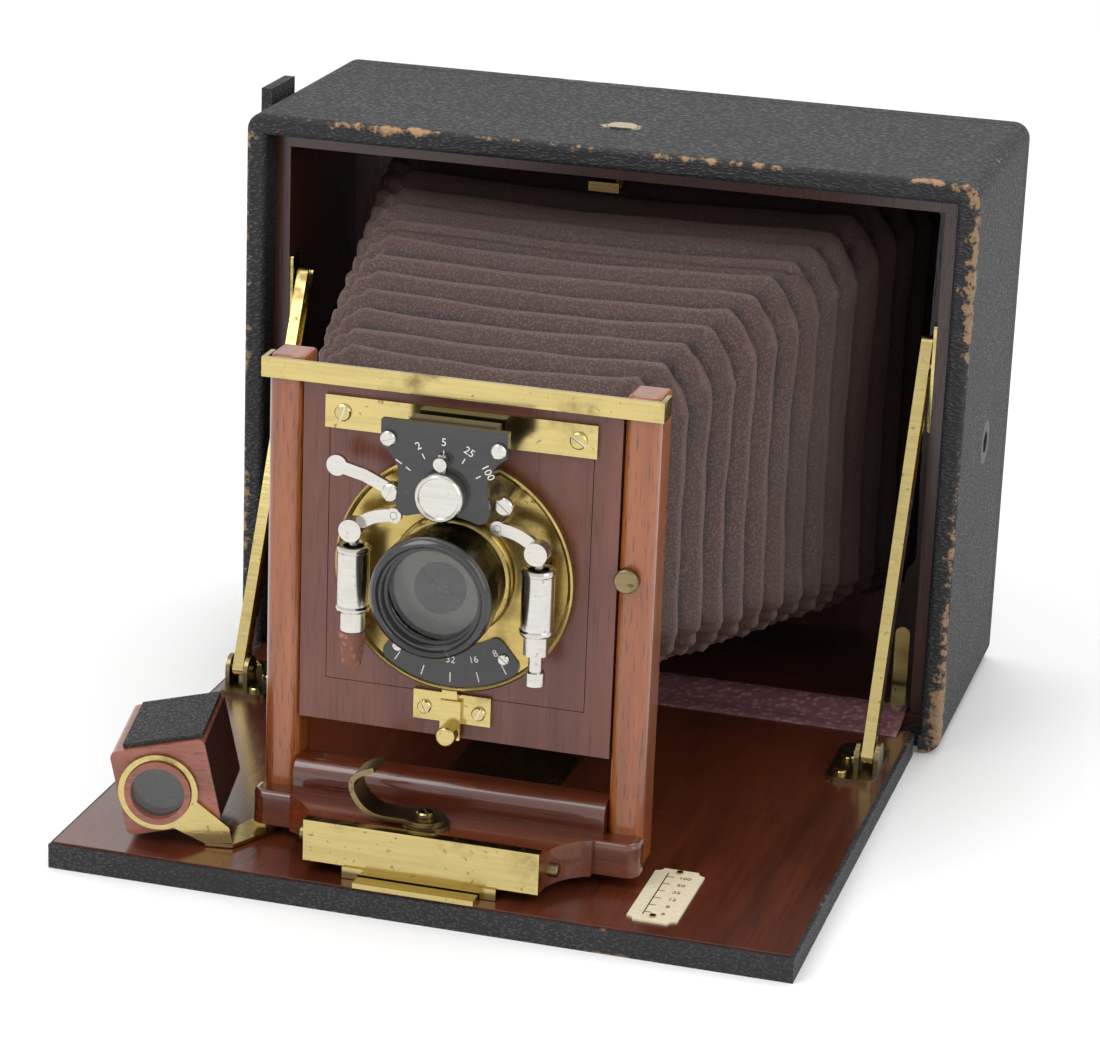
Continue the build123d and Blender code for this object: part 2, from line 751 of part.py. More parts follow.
with BuildPart() as uprights:
    with BuildSketch(Plane.XY.offset(plank_low)):
        with Locations((-upright_x, upright_y), (upright_x, upright_y)):
            Rectangle(upright_wide, upright_deep)
    extrude(amount=upright_top - plank_low)
    fillet(uprights.edges().filter_by(Axis.Z).group_by(Axis.Y)[0], upright_round)
    fillet(uprights.edges().filter_by(Axis.X).group_by(Axis.Z)[-1], 1.2)
finish(uprights.part, "uprights")

bar_low = 105.8
bar_high = 110.0
bar_gauge = 1.0
bar_wrap = 5.0
with BuildPart() as top_bar:
    with BuildSketch(Plane.XY.offset(bar_low)):
        with Locations((0, upright_face + (bar_wrap - bar_gauge) / 2)):
            Rectangle(2 * (upright_outer + bar_gauge), bar_wrap + bar_gauge)
        with Locations((0, upright_face + bar_wrap / 2)):
            Rectangle(2 * upright_outer, bar_wrap, mode=Mode.SUBTRACT)
    extrude(amount=bar_high - bar_low)
finish(top_bar.part, "top_bar")

lip_back = 1.5
with BuildPart() as nameplate:
    with BuildSketch(Plane.YZ.offset(-block_nose_x)):
        with BuildLine():
            Polyline(
                (block_front, plank_low),
                (block_front - plate_gauge, plank_low),
                (block_front - plate_gauge, block_top + plate_gauge),
                (block_front + lip_back, block_top + plate_gauge),
                (block_front + lip_back, block_top),
                (block_front, block_top),
                close=True,
            )
        make_face()
    extrude(amount=2 * block_nose_x)
finish(nameplate.part, "nameplate")

clamp_wide = 33.2
clamp_low = bed_thick + 0.15
clamp_under = bed_thick + track_thick + 0.25
with BuildPart() as track_clamp:
    with BuildSketch(facing(upright_rear - 1.0)):
        with Locations((0, (clamp_low + plank_low) / 2)):
            Rectangle(clamp_wide, plank_low - clamp_low)
        with Locations((0, (clamp_low + clamp_under) / 2)):
            Rectangle(track_wide + 2 * joint_clear, clamp_under - clamp_low, mode=Mode.SUBTRACT)
    extrude(amount=upright_rear - 1.0 - (block_front - 1.6))
finish(track_clamp.part, "track_clamp")

lever_x = -1.5
lever_y = plank_front - 6.6
washer_radius = 5.2
washer_thick = 1.1          # lifts the lever clear of the nameplate's lip
lever_gauge = 1.1
lever_wide = 6.6
lever_hub = 4.4
lever_base = block_top + washer_thick + 0.1
with BuildPart() as lock_lever:
    with BuildSketch(Plane.XY.offset(lever_base)):
        with Locations((lever_x, lever_y)):
            Circle(lever_hub)
    extrude(amount=lever_gauge)
    # the arm leaves the hub to the left and curls up and over
    middle_z = lever_base + lever_gauge / 2
    with BuildSketch(facing(lever_y + lever_wide / 2)):
        with BuildLine():
            Line((lever_x - 2.0, middle_z), (lever_x - 7.0, middle_z))
            Spline(
                (lever_x - 7.0, middle_z),
                (lever_x - 13.2, middle_z + 2.2),
                (lever_x - 15.2, middle_z + 6.2),
                (lever_x - 10.4, middle_z + 10.4),
                tangents=[(-1, 0), (1, 0.35)],
            )
        trace(line_width=lever_gauge)
    extrude(amount=lever_wide)
finish(lock_lever.part, "lock_lever")

with BuildPart() as standard_screws:
    # washer and pivot screw of the lock lever
    with BuildSketch(Plane.XY.offset(block_top)):
        with Locations((lever_x, lever_y)):
            Circle(washer_radius)
    extrude(amount=washer_thick)
    with BuildSketch(Plane.XY.offset(lever_base + lever_gauge + 0.1)):
        with Locations((lever_x, lever_y)):
            Circle(1.9)
    extrude(amount=0.7)
    # a screw in each concave side of the block
    for x in (-side_screw_tip, side_screw_root):
        with BuildSketch(Plane.YZ.offset(x)):
            with Locations((side_screw_y, side_screw_z)):
                Circle(side_screw_radius)
        extrude(amount=side_screw_tip - side_screw_root)
finish(standard_screws.part, "standard_screws")

knob_x = upright_inner + 2.3
knob_z = 71.8
knob_radius = 2.6
with BuildPart() as rise_knob:
    with BuildSketch(facing(upright_face - 0.1)):
        with Locations((knob_x, knob_z)):
            Circle(knob_radius)
    extrude(amount=2.0)
    fillet(rise_knob.edges().group_by(Axis.Y)[0], 0.5)
finish(rise_knob.part, "rise_knob")

# ================================================================ the rising panel
rear_cell_radius = 10.6
with BuildPart() as panel_frame:
    with BuildSketch(facing(panel_rear)):
        with Locations((0, (panel_bottom + panel_top) / 2)):
            Rectangle(panel_wide, panel_top - panel_bottom)
        with Locations((0, (board_bottom + board_top) / 2)):
            Rectangle(board_wide, board_top - board_bottom, mode=Mode.SUBTRACT)
    extrude(amount=panel_thick)
finish(panel_frame.part, "panel_frame")

with BuildPart() as lens_board:
    with BuildSketch(facing(panel_face + board_thick)):
        with Locations((0, (board_bottom + board_top) / 2)):
            Rectangle(board_wide - 0.3, board_top - board_bottom - 0.3)
        with Locations((0, lens_z)):
            Circle(rear_cell_radius + 0.1, mode=Mode.SUBTRACT)
    extrude(amount=board_thick)
finish(lens_board.part, "lens_board")

strip_wide = 57.8
strip_low = 96.4
strip_high = 103.4
catch_wide = 16.8
catch_low = 35.4
catch_high = 41.8
with BuildPart() as board_plates:
    with BuildSketch(facing(panel_face)):
        with Locations((0, (strip_low + strip_high) / 2)):
            Rectangle(strip_wide, strip_high - strip_low)
        with Locations((0, (catch_low + catch_high) / 2)):
            Rectangle(catch_wide, catch_high - catch_low)
    extrude(amount=plate_gauge)
finish(board_plates.part, "board_plates")

tongue_wide = 4.4
catch_knob_z = 33.6
tongue_face = panel_face - plate_gauge - 0.1
with BuildPart() as board_catch:
    with BuildSketch(facing(tongue_face)):
        with Locations((0, (catch_knob_z - 1.6 + catch_high - 1.2) / 2)):
            Rectangle(tongue_wide, catch_high - 1.2 - catch_knob_z + 1.6)
    extrude(amount=1.1)
    with BuildSketch(facing(tongue_face)):
        with Locations((0, catch_knob_z)):
            Circle(2.1)
    extrude(amount=4.4)
    fillet(board_catch.edges().group_by(Axis.Y)[0], 0.5)
finish(board_catch.part, "board_catch")

# ================================================================ the shutter and the lens
dial_screw_x = 11.6
dial_screw_z = 99.2
stud_screw_x = 12.0
stud_screw_z = 86.6
strip_screw_x = 25.0
catch_screw_x = 5.9
cylinder_x = 19.7
cylinder_y = disc_face - 6.0
cylinder_radius = 3.4
cylinder_low = 60.5
cylinder_high = 74.2
nozzle_radius = 2.6
nozzle_low = 56.0
arm_y = dial_face + 2.4
arm_gauge = 1.3
arm_hub_x = 11.0
arm_hub_z = 82.0
arm_eye_z = 78.2
trigger_y = arm_y + arm_gauge + 0.5
trigger_gauge = 1.1
lens_axis = Axis((0, 0, lens_z), (0, 1, 0))
lens_plane = Plane.XY.offset(lens_z)

with BuildPart() as shutter_disc:
    with BuildSketch(facing(panel_face)):
        with Locations((0, lens_z)):
            Circle(disc_radius)
            Circle(barrel_radius + 0.05, mode=Mode.SUBTRACT)
    extrude(amount=disc_thick)
    fillet(shutter_disc.edges().group_by(Axis.Y)[0].sort_by(SortBy.LENGTH)[-1], 0.7)
finish(shutter_disc.part, "shutter_disc")

dial_gauge = 1.8
dial_half = 13.3
dial_top = 103.0
case_half = 9.2
case_low = 84.6
with BuildPart() as dial_housing:
    # the works' box behind the dial plate
    with BuildSketch(facing(disc_face)):
        with Locations((0, (case_low + dial_top - 1.0) / 2)):
            Rectangle(2 * case_half, dial_top - 1.0 - case_low)
    extrude(amount=dial_front - dial_gauge)
    # the waisted dial plate, with two round lobes below
    with BuildSketch(facing(dial_face + dial_gauge)):
        with BuildLine():
            Line((0, dial_top), (dial_half, dial_top))
            Line((dial_half, dial_top), (dial_half, dial_top - 5.4))
            ThreePointArc((dial_half, dial_top - 5.4), (10.2, dial_top - 8.4), (9.3, dial_top - 12.6))
            Spline(
                (9.3, dial_top - 12.6),
                (9.9, dial_top - 16.2),
                (7.4, dial_top - 19.8),
                tangents=[(0.1, -1), (-1, 0)],
            )
            ThreePointArc((7.4, dial_top - 19.8), (4.6, dial_top - 19.0), (0, dial_top - 18.4))
            mirror(about=Plane.YZ)
        make_face()
    extrude(amount=dial_gauge)
finish(dial_housing.part, "dial_housing")

speed_knob_z = 88.6
speed_knob_radius = 5.2
speed_pointer_top = 97.2
with BuildPart() as speed_dial:
    with BuildSketch(facing(dial_face - 0.15)):
        with Locations((0, speed_knob_z)):
            Circle(speed_knob_radius)
    extrude(amount=2.6)
    fillet(speed_dial.edges().group_by(Axis.Y)[0], 0.5)
    with BuildSketch(facing(dial_face - 0.15)):
        with Locations((0, (speed_knob_z + speed_pointer_top) / 2)):
            Rectangle(1.6, speed_pointer_top - speed_knob_z)
    extrude(amount=0.9)
    with BuildSketch(facing(dial_face - 0.15)):
        with Locations((0, speed_pointer_top - 1.6)):
            Circle(1.4)
    extrude(amount=2.4)
finish(speed_dial.part, "speed_dial")

trigger_tip_x = -24.0
trigger_tip_z = 90.6
with BuildPart() as trigger_lever:
    with BuildSketch(facing(trigger_y + trigger_gauge)):
        with BuildLine():
            Polyline(
                (-stud_screw_x, stud_screw_z),
                (-stud_screw_x - 6.0, 89.2),
                (trigger_tip_x, trigger_tip_z),
            )
        trace(line_width=2.6)
        with Locations((-stud_screw_x, stud_screw_z)):
            Circle(1.9)
        with Locations((trigger_tip_x, trigger_tip_z)):
            Circle(2.2)
        with Locations((-stud_screw_x, stud_screw_z)):
            Circle(0.9 + 2 * pin_clear, mode=Mode.SUBTRACT)
    extrude(amount=trigger_gauge)
finish(trigger_lever.part, "trigger_lever")

with BuildPart() as air_cylinders:
    for x in (-cylinder_x, cylinder_x):
        with BuildSketch(Plane.XY.offset(cylinder_low)):
            with Locations((x, cylinder_y)):
                Circle(cylinder_radius)
        extrude(amount=cylinder_high - cylinder_low)
        with BuildSketch(Plane.XY.offset(nozzle_low)):
            with Locations((x, cylinder_y)):
                Circle(nozzle_radius)
        extrude(amount=cylinder_low - nozzle_low)
        with BuildSketch(Plane.XY.offset(nozzle_low - 4.0)):
            with Locations((x, cylinder_y)):
                Circle(1.5)
        extrude(amount=4.0)
        # the bore for the plunger, and the lug that holds the cylinder to the disc
        with BuildSketch(Plane.XY.offset(cylinder_high)):
            with Locations((x, cylinder_y)):
                Circle(nozzle_radius)
        extrude(amount=-8.0, mode=Mode.SUBTRACT)
        with BuildSketch(facing(disc_face)):
            with Locations((x * 0.96, cylinder_low + 1.6)):
                Rectangle(3.2, 5.0)
        extrude(amount=disc_face - cylinder_y - cylinder_radius + 0.6)
    with BuildSketch(Plane.XY.offset(nozzle_low - 6.6)):
        with Locations((cylinder_x, cylinder_y)):
            Circle(2.1)
    extrude(amount=2.8)
finish(air_cylinders.part, "air_cylinders")

hose_top = nozzle_low - 0.1
hose_length = 7.6
with BuildPart() as hose_stub:
    with BuildSketch(Plane.XY.offset(hose_top)):
        with Locations((-cylinder_x, cylinder_y)):
            Circle(2.9)
    extrude(amount=-hose_length, taper=7)
    with BuildSketch(Plane.XY.offset(hose_top)):
        with Locations((-cylinder_x, cylinder_y)):
            Circle(1.5)
    extrude(amount=-3.9, mode=Mode.SUBTRACT)
finish(hose_stub.part, "hose_stub")


def make_arm(side):
    """An arm from its hub by the dial plate out to the round cap over its cylinder."""
    with BuildPart() as arm:
        with BuildSketch(facing(arm_y + arm_gauge)):
            with BuildLine():
                Spline(
                    (side * arm_hub_x, arm_hub_z),
                    (side * (arm_hub_x + 4.6), arm_hub_z - 1.0),
                    (side * cylinder_x, arm_eye_z),
                )
            trace(line_width=2.6)
            with Locations((side * arm_hub_x, arm_hub_z)):
                Circle(1.6)
            with Locations((side * arm_hub_x, arm_hub_z)):
                Circle(0.7 + 2 * pin_clear, mode=Mode.SUBTRACT)
        extrude(amount=arm_gauge)
        with BuildSketch(facing(arm_y + arm_gauge)):
            with Locations((side * cylinder_x, arm_eye_z)):
                Circle(2.4)
        extrude(amount=arm_gauge + 2.0)
        # collar and plunger rod that go down into the cylinder
        with BuildSketch(Plane.XY.offset(cylinder_high - 2.4)):
            with Locations((side * cylinder_x, cylinder_y)):
                Circle(1.1)
        extrude(amount=arm_eye_z - cylinder_high + 2.4)
    return arm.part


finish(make_arm(-1), "plunger_arm_left")
finish(make_arm(1), "plunger_arm_right")

barrel_front = panel_face - 13.6
ring_front = panel_face - 18.7
barrel_bore = 10.4
rear_cell_back = panel_rear + 4.0
with BuildPart() as lens_barrel:
    with BuildSketch(lens_plane):
        with BuildLine():
            Polyline(
                (barrel_bore, ring_front),
                (ring_radius - 0.6, ring_front),
                (ring_radius, ring_front + 0.6),
                (ring_radius, barrel_front),
                (barrel_radius, barrel_front),
                (barrel_radius, panel_face - 0.1),
                (rear_cell_radius, panel_face - 0.1),
                (rear_cell_radius, rear_cell_back),
                (rear_cell_radius - 1.6, rear_cell_back),
                (rear_cell_radius - 1.6, panel_face),
                (barrel_bore, panel_face - 2.0),
                close=True,
            )
        make_face()
    revolve(axis=lens_axis)
finish(lens_barrel.part, "lens_barrel")

lens_recess = 3.2
lens_bulge = 0.8
with BuildPart() as lens_glass:
    for radius, face, back in (
        (barrel_bore - 0.1, ring_front + lens_recess, ring_front + lens_recess + 3.0),
        (rear_cell_radius - 1.7, rear_cell_back - 4.2, rear_cell_back - 1.4),
    ):
        with BuildSketch(lens_plane):
            with BuildLine():
                Line((0, face - lens_bulge), (1.0, face - lens_bulge))
                ThreePointArc(
                    (1.0, face - lens_bulge), (radius * 0.6, face - 0.6 * lens_bulge), (radius, face)
                )
                Line((radius, face), (radius, back))
                ThreePointArc(
                    (radius, back), (radius * 0.6, back + 0.6 * lens_bulge), (1.0, back + lens_bulge)
                )
                Line((1.0, back + lens_bulge), (0, back + lens_bulge))
                Line((0, back + lens_bulge), (0, face - lens_bulge))
            make_face()
        revolve(axis=lens_axis)
finish(lens_glass.part, "lens_glass")

scale_inner = 15.4
scale_outer = 24.4
scale_half_angle = 40
scale_thick = 0.5
with BuildPart() as aperture_scale:
    with BuildSketch(facing(disc_face)):
        with BuildLine():
            scale_rim = CenterArc((0, lens_z), scale_outer, 270 - scale_half_angle, 2 * scale_half_angle)
            scale_bore = CenterArc((0, lens_z), scale_inner, 270 - scale_half_angle, 2 * scale_half_angle)
            Line(scale_rim @ 0, scale_bore @ 0)
            Line(scale_rim @ 1, scale_bore @ 1)
        make_face()
    extrude(amount=scale_thick)
    fillet(aperture_scale.edges().filter_by(Axis.Y), 2.2)
finish(aperture_scale.part, "aperture_scale")

pointer_inner = disc_radius + 0.15
pointer_outer = disc_radius + 2.0
pointer_half_angle = 3.6
with BuildPart() as aperture_pointer:
    with BuildSketch(facing(disc_face + 1.0)):
        with BuildLine():
            tab_start = 270 - pointer_half_angle
            tab_rim = CenterArc((0, lens_z), pointer_outer, tab_start, 2 * pointer_half_angle)
            tab_root = CenterArc((0, lens_z), pointer_inner, tab_start, 2 * pointer_half_angle)
            Line(tab_rim @ 0, tab_root @ 0)
            Line(tab_rim @ 1, tab_root @ 1)
        make_face()
    extrude(amount=1.6)
finish(aperture_pointer.part, "aperture_pointer")

scale_screw_x = (scale_outer - 4.0) * sin(radians(scale_half_angle - 6))
scale_screw_drop = (scale_outer - 4.0) * cos(radians(scale_half_angle - 6))
with BuildPart() as front_screws:
    # through the brass strip, the catch plate and the dial plate, and the rise pin
    with BuildSketch(facing(panel_face - plate_gauge)):
        with Locations((-strip_screw_x, 99.9), (strip_screw_x, 99.9)):
            Circle(1.8)
        with Locations((-catch_screw_x, 38.2), (catch_screw_x, 38.2)):
            Circle(1.5)
    extrude(amount=0.5)
    with BuildSketch(facing(dial_face)):
        with Locations((-dial_screw_x, dial_screw_z), (dial_screw_x, dial_screw_z)):
            Circle(1.6)
    extrude(amount=0.8)
    # the studs that the trigger and the arms turn on, and the plain one on the right
    with BuildSketch(facing(disc_face)):
        with Locations((-stud_screw_x, stud_screw_z), (stud_screw_x, stud_screw_z)):
            Circle(0.9)
    extrude(amount=disc_face - trigger_y + 0.2)
    with BuildSketch(facing(trigger_y - 0.15)):
        with Locations((-stud_screw_x, stud_screw_z), (stud_screw_x, stud_screw_z)):
            Circle(1.9)
    extrude(amount=1.2)
    with BuildSketch(facing(disc_face)):
        with Locations((-arm_hub_x, arm_hub_z), (arm_hub_x, arm_hub_z)):
            Circle(0.7)
    extrude(amount=disc_face - arm_y)
    with BuildSketch(facing(disc_face - scale_thick)):
        with Locations(
            (-scale_screw_x, lens_z - scale_screw_drop),
            (scale_screw_x, lens_z - scale_screw_drop),
        ):
            Circle(1.2)
    extrude(amount=0.4)
finish(front_screws.part, "front_screws")

# ================================================================ the view finder
finder_lens_x = -58.6
finder_lens_y = front - 122.0
finder_lens_z = 17.6
finder_side = 1.6           # the body's middle from its lens, across and up
finder_rise = 0.5
finder_wall = 2.0
finder_ring = 8.4
finder_tube = 7.0
ring_gauge = 0.9
ring_gap = 0.1
screen_size = 12.5
flap_gauge = 0.9
foot_low = bed_thick + 0.25
foot_gauge = 0.8

yaw = radians(finder_yaw)
roll = radians(finder_roll)
finder_out = Vector(sin(yaw), -cos(yaw), 0)
finder_right = Vector(cos(yaw) * cos(roll), sin(yaw) * cos(roll), sin(roll))
finder_lens = Vector(finder_lens_x, finder_lens_y, finder_lens_z)


def finder_plane(depth):
    """A plane in the finder, a depth behind its front face, with x across and y up the body."""
    return Plane(origin=finder_lens - finder_out * depth, x_dir=finder_right, z_dir=finder_out)


with BuildPart() as finder_body:
    with BuildSketch(finder_plane(finder_deep)):
        with Locations((finder_side, finder_rise)):
            RectangleRounded(finder_wide, finder_tall, 1.6)
    extrude(amount=finder_deep)
    with BuildSketch(finder_plane(finder_deep - finder_wall)):
        with Locations((finder_side, finder_rise)):
            Rectangle(finder_wide - 2 * finder_wall, finder_tall - 2 * finder_wall)
    extrude(amount=finder_deep - 2 * finder_wall, mode=Mode.SUBTRACT)
    with BuildSketch(finder_plane(finder_wall + 0.5)):
        Circle(finder_tube - 0.6)
    extrude(amount=finder_wall + 1.0, mode=Mode.SUBTRACT)
    # the window for the ground glass on top
    with BuildSketch(finder_plane(finder_deep / 2 + screen_size / 2)):
        with Locations((finder_side, finder_rise + finder_tall / 2)):
            Rectangle(screen_size, 3 * finder_wall)
    extrude(amount=screen_size, mode=Mode.SUBTRACT)
    # the turned lens tube that sits in the brass ring
    with BuildSketch(finder_plane(-0.05)):
        Circle(finder_tube)
        Circle(finder_tube - 1.3, mode=Mode.SUBTRACT)
    extrude(amount=ring_gauge + 0.9)
    with BuildSketch(finder_plane(0.6)):
        Circle(finder_tube)
        Circle(finder_tube - 1.3, mode=Mode.SUBTRACT)
    extrude(amount=0.7)
finish(finder_body.part, "finder_body")

with BuildPart() as finder_optics:
    with BuildSketch(finder_plane(finder_wall)):
        Circle(finder_tube - 1.4)
    extrude(amount=finder_wall)
    with BuildSketch(finder_plane(finder_deep / 2 + screen_size / 2 - 0.2)):
        with Locations((finder_side, finder_rise + finder_tall / 2 - 1.2)):
            Rectangle(screen_size - 0.4, 1.0)
    extrude(amount=screen_size - 0.4)
    # the mirror stands at half a right angle between the lens and the screen
    mirror_half = screen_size / 2 - 0.4
    mirror_plane = Plane(
        origin=finder_lens - finder_out * (finder_deep / 2) + finder_right * (finder_side - mirror_half),
        x_dir=finder_out,
        z_dir=finder_right,
    )
    with BuildSketch(mirror_plane):
        with Locations(Location((0, 0), 45)):
            Rectangle(14.0, 0.8)
    extrude(amount=2 * mirror_half)
finish(finder_optics.part, "finder_optics")

flap_left = finder_side + finder_wide / 2 - 17.5
flap_right = finder_side + finder_wide / 2 - 0.3
flap_base = finder_rise + finder_tall / 2 + 0.1
with BuildPart() as finder_flap:
    with BuildSketch(finder_plane(finder_deep - 1.5)):
        with Locations(((flap_left + flap_right) / 2, flap_base + flap_gauge / 2)):
            Rectangle(flap_right - flap_left, flap_gauge)
    extrude(amount=finder_deep - 2.5)
finish(finder_flap.part, "finder_flap")

arm_end_x = 11.7
arm_end_y = -(finder_lens_z - foot_low - foot_gauge + arm_end_x * sin(roll)) / cos(roll)
foot_start = finder_lens + finder_right * arm_end_x + finder_out.cross(finder_right) * arm_end_y
foot_end_x = -plank_x + 5.0
foot_end_y = upright_y - 3.0
with BuildPart() as finder_bracket:
    with BuildSketch(finder_plane(-ring_gap)):
        with BuildLine():
            Polyline(
                (4.0, -6.0),
                (7.6, -3.2),
                (arm_end_x + 1.6, arm_end_y + 3.4),
                (arm_end_x + 1.6, arm_end_y),
                (arm_end_x - 4.0, arm_end_y + 0.6),
                (1.0, -7.8),
                close=True,
            )
        make_face()
        Circle(finder_ring)
        Circle(finder_tube + 0.15, mode=Mode.SUBTRACT)
    extrude(amount=ring_gauge)
    # the foot lies on the bed and runs in under the plank
    with BuildSketch(Plane.XY.offset(foot_low)):
        with BuildLine():
            Polyline(
                (foot_start.X - 4.0, foot_start.Y - 1.6),
                (foot_start.X + 1.8, foot_start.Y - 0.6),
                (foot_end_x, foot_end_y - 5.0),
                (foot_end_x, foot_end_y),
                (foot_end_x - 6.0, foot_end_y),
                close=True,
            )
        make_face()
    extrude(amount=foot_gauge)
finish(finder_bracket.part, "finder_bracket")
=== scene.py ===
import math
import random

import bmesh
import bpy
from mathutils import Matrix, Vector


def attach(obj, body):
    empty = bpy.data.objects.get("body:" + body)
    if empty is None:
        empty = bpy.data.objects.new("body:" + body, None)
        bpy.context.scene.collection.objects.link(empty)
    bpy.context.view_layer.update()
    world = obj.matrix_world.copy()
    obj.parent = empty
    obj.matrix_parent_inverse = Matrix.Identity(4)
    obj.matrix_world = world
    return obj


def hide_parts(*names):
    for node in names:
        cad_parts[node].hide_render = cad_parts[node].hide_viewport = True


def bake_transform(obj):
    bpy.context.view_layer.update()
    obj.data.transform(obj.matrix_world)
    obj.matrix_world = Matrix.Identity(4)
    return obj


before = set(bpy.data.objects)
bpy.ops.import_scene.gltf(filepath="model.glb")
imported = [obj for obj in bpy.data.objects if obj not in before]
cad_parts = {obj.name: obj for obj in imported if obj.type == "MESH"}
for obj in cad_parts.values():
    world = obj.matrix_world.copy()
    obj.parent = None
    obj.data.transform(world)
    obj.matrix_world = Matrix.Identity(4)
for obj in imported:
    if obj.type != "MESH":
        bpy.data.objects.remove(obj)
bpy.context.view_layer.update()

# %% [markdown]
# # A folding view camera, opened on its bed
#
# The exact parts - case, bed, brass work, shutter - come from the CAD model and stay where
# they are. This file gives each of them a finish, and adds what a CAD program does poorly:
# a folded leather bellows, turned metal, slotted screws, numbers and marks. Lengths are in
# metres. +X is to the right of someone in front of the lens, +Y runs from the lens to the
# ground glass and +Z is up.

MM = 0.001

# %% [markdown]
# ## The view
#
# The camera stands where the whole object fills a portrait lens: a little above the bed,
# to the right, and leaning about two degrees. Its matrix is built from three directions,
# because that holds azimuth, elevation and lean without any of them disturbing the others.

# %% The camera
azimuth, elevation, lean = (math.radians(v) for v in (15.34, 18.65, 2.21))
back = Vector((math.sin(azimuth) * math.cos(elevation), -math.cos(azimuth) * math.cos(elevation), math.sin(elevation)))
level = Vector((math.cos(azimuth), math.sin(azimuth), 0))
rise = back.cross(level)
right = level * math.cos(lean) + rise * math.sin(lean)
upward = rise * math.cos(lean) - level * math.sin(lean)
camera = bpy.data.objects.new("camera", bpy.data.cameras.new("camera"))
bpy.context.scene.collection.objects.link(camera)
CAMERA_PLACE = (0.2072, -0.8246, 0.3206)
camera.matrix_world = Matrix.Translation(CAMERA_PLACE) @ Matrix((right, upward, back)).transposed().to_4x4()
camera.data.lens = 120.7
camera.data.sensor_width = 36
camera.data.clip_start = 0.01
bpy.context.scene.camera = camera
bpy.context.scene.view_settings.view_transform = "Standard"
print("camera at", [round(v, 3) for v in camera.location])

# %% [markdown]
# ## Floor and light
#
# A pale floor under the object catches a soft shadow. Three wide soft boxes give
# long reflections in the brass and the polish, which is what makes metal read as metal: a
# mirror-like surface shows only what is round it, so the lights are large.

# %% The floor, the sky and the lamps
floor_mesh = bmesh.new()
bmesh.ops.create_grid(floor_mesh, x_segments=1, y_segments=1, size=6)
floor = bpy.data.objects.new("floor", bpy.data.meshes.new("floor"))
floor_mesh.to_mesh(floor.data)
floor_mesh.free()
bpy.context.scene.collection.objects.link(floor)
floor_paint = bpy.data.materials.new("pale floor")
floor_paint.use_nodes = True
floor_paint.node_tree.nodes["Principled BSDF"].inputs["Base Color"].default_value = (0.93, 0.93, 0.93, 1)
floor_paint.node_tree.nodes["Principled BSDF"].inputs["Roughness"].default_value = 0.8
floor.data.materials.append(floor_paint)

sky = bpy.data.worlds.new("studio")
sky.use_nodes = True
sky.node_tree.nodes["Background"].inputs["Color"].default_value = (1.0, 1.0, 1.0, 1)
sky.node_tree.nodes["Background"].inputs["Strength"].default_value = 0.92
bpy.context.scene.world = sky


def lamp(name, place, aim, size, power, long=None):
    """A soft box: a rectangle of light that faces a point."""
    light = bpy.data.lights.new(name, "AREA")
    light.energy = power
    light.shape = "RECTANGLE"
    light.size = size
    light.size_y = long or size
    holder = bpy.data.objects.new(name, light)
    bpy.context.scene.collection.objects.link(holder)
    holder.location = place
    holder.rotation_mode = "QUATERNION"
    holder.rotation_quaternion = (Vector(aim) - Vector(place)).to_track_quat("-Z", "Y")
    return holder


middle = (0, -0.06, 0.06)
lamp("key", (-0.55, -0.65, 0.95), middle, 0.7, 5.0)
lamp("fill", (0.95, -0.5, 0.55), middle, 0.6, 2.2, 0.9)
lamp("top", (0.05, 0.35, 1.15), middle, 0.8, 3.2)

# %% [markdown]
# ## Shared finishes as node groups
#
# Wood grain, pebbled leather, worn edges and tarnish each turn up in several materials.
# Each is a node group: built once, with named inputs, and placed wherever it is wanted
# with other values. A small helper wires nodes, so each recipe reads as a recipe.

# %% Helpers that wire nodes
OUT_KINDS = {"Color": "NodeSocketColor", "Vector": "NodeSocketVector"}


def add_node(tree, kind, settings=None, **links):
    """A node in the tree, with its settings, and each named input joined or given a value."""
    node = tree.nodes.new(kind)
    for key, value in (settings or {}).items():
        setattr(node, key, value)
    for key, value in links.items():
        socket = node.inputs[int(key[1:])] if key[1:].isdigit() else node.inputs[key.replace("_", " ")]
        if isinstance(value, bpy.types.NodeSocket):
            tree.links.new(value, socket)
        else:
            socket.default_value = value
    return node


def maths(tree, operation, *values, clamp=False):
    """One Math node, with its result."""
    links = {f"i{i}": v for i, v in enumerate(values)}
    return add_node(tree, "ShaderNodeMath", {"operation": operation, "use_clamp": clamp}, **links).outputs[0]


def noise(tree, place, scale, detail=3.0, rough=0.5, warp=0.0):
    """A Noise Texture's value."""
    settings = {"noise_dimensions": "3D"}
    links = {"Vector": place, "Scale": scale, "Detail": detail, "Roughness": rough, "Distortion": warp}
    return add_node(tree, "ShaderNodeTexNoise", settings, **links).outputs[0]


def band(tree, value, low, high, to_low=0.0, to_high=1.0):
    """A value spread from one range to another and held there: a mask from a noise."""
    node = add_node(tree, "ShaderNodeMapRange", {"clamp": True, "interpolation_type": "SMOOTHSTEP"}, i0=value)
    for index, v in enumerate((low, high, to_low, to_high)):
        if isinstance(v, bpy.types.NodeSocket):
            tree.links.new(v, node.inputs[1 + index])
        else:
            node.inputs[1 + index].default_value = v
    return node.outputs[0]


def blend_colours(tree, factor, a, b, how="MIX"):
    """Two colours mixed by a mask."""
    node = tree.nodes.new("ShaderNodeMix")
    node.data_type = "RGBA"
    node.blend_type = how
    for index, v in ((0, factor), (6, a), (7, b)):
        if isinstance(v, bpy.types.NodeSocket):
            tree.links.new(v, node.inputs[index])
        else:
            node.inputs[index].default_value = v if index == 0 else (*v, 1)
    return node.outputs[2]


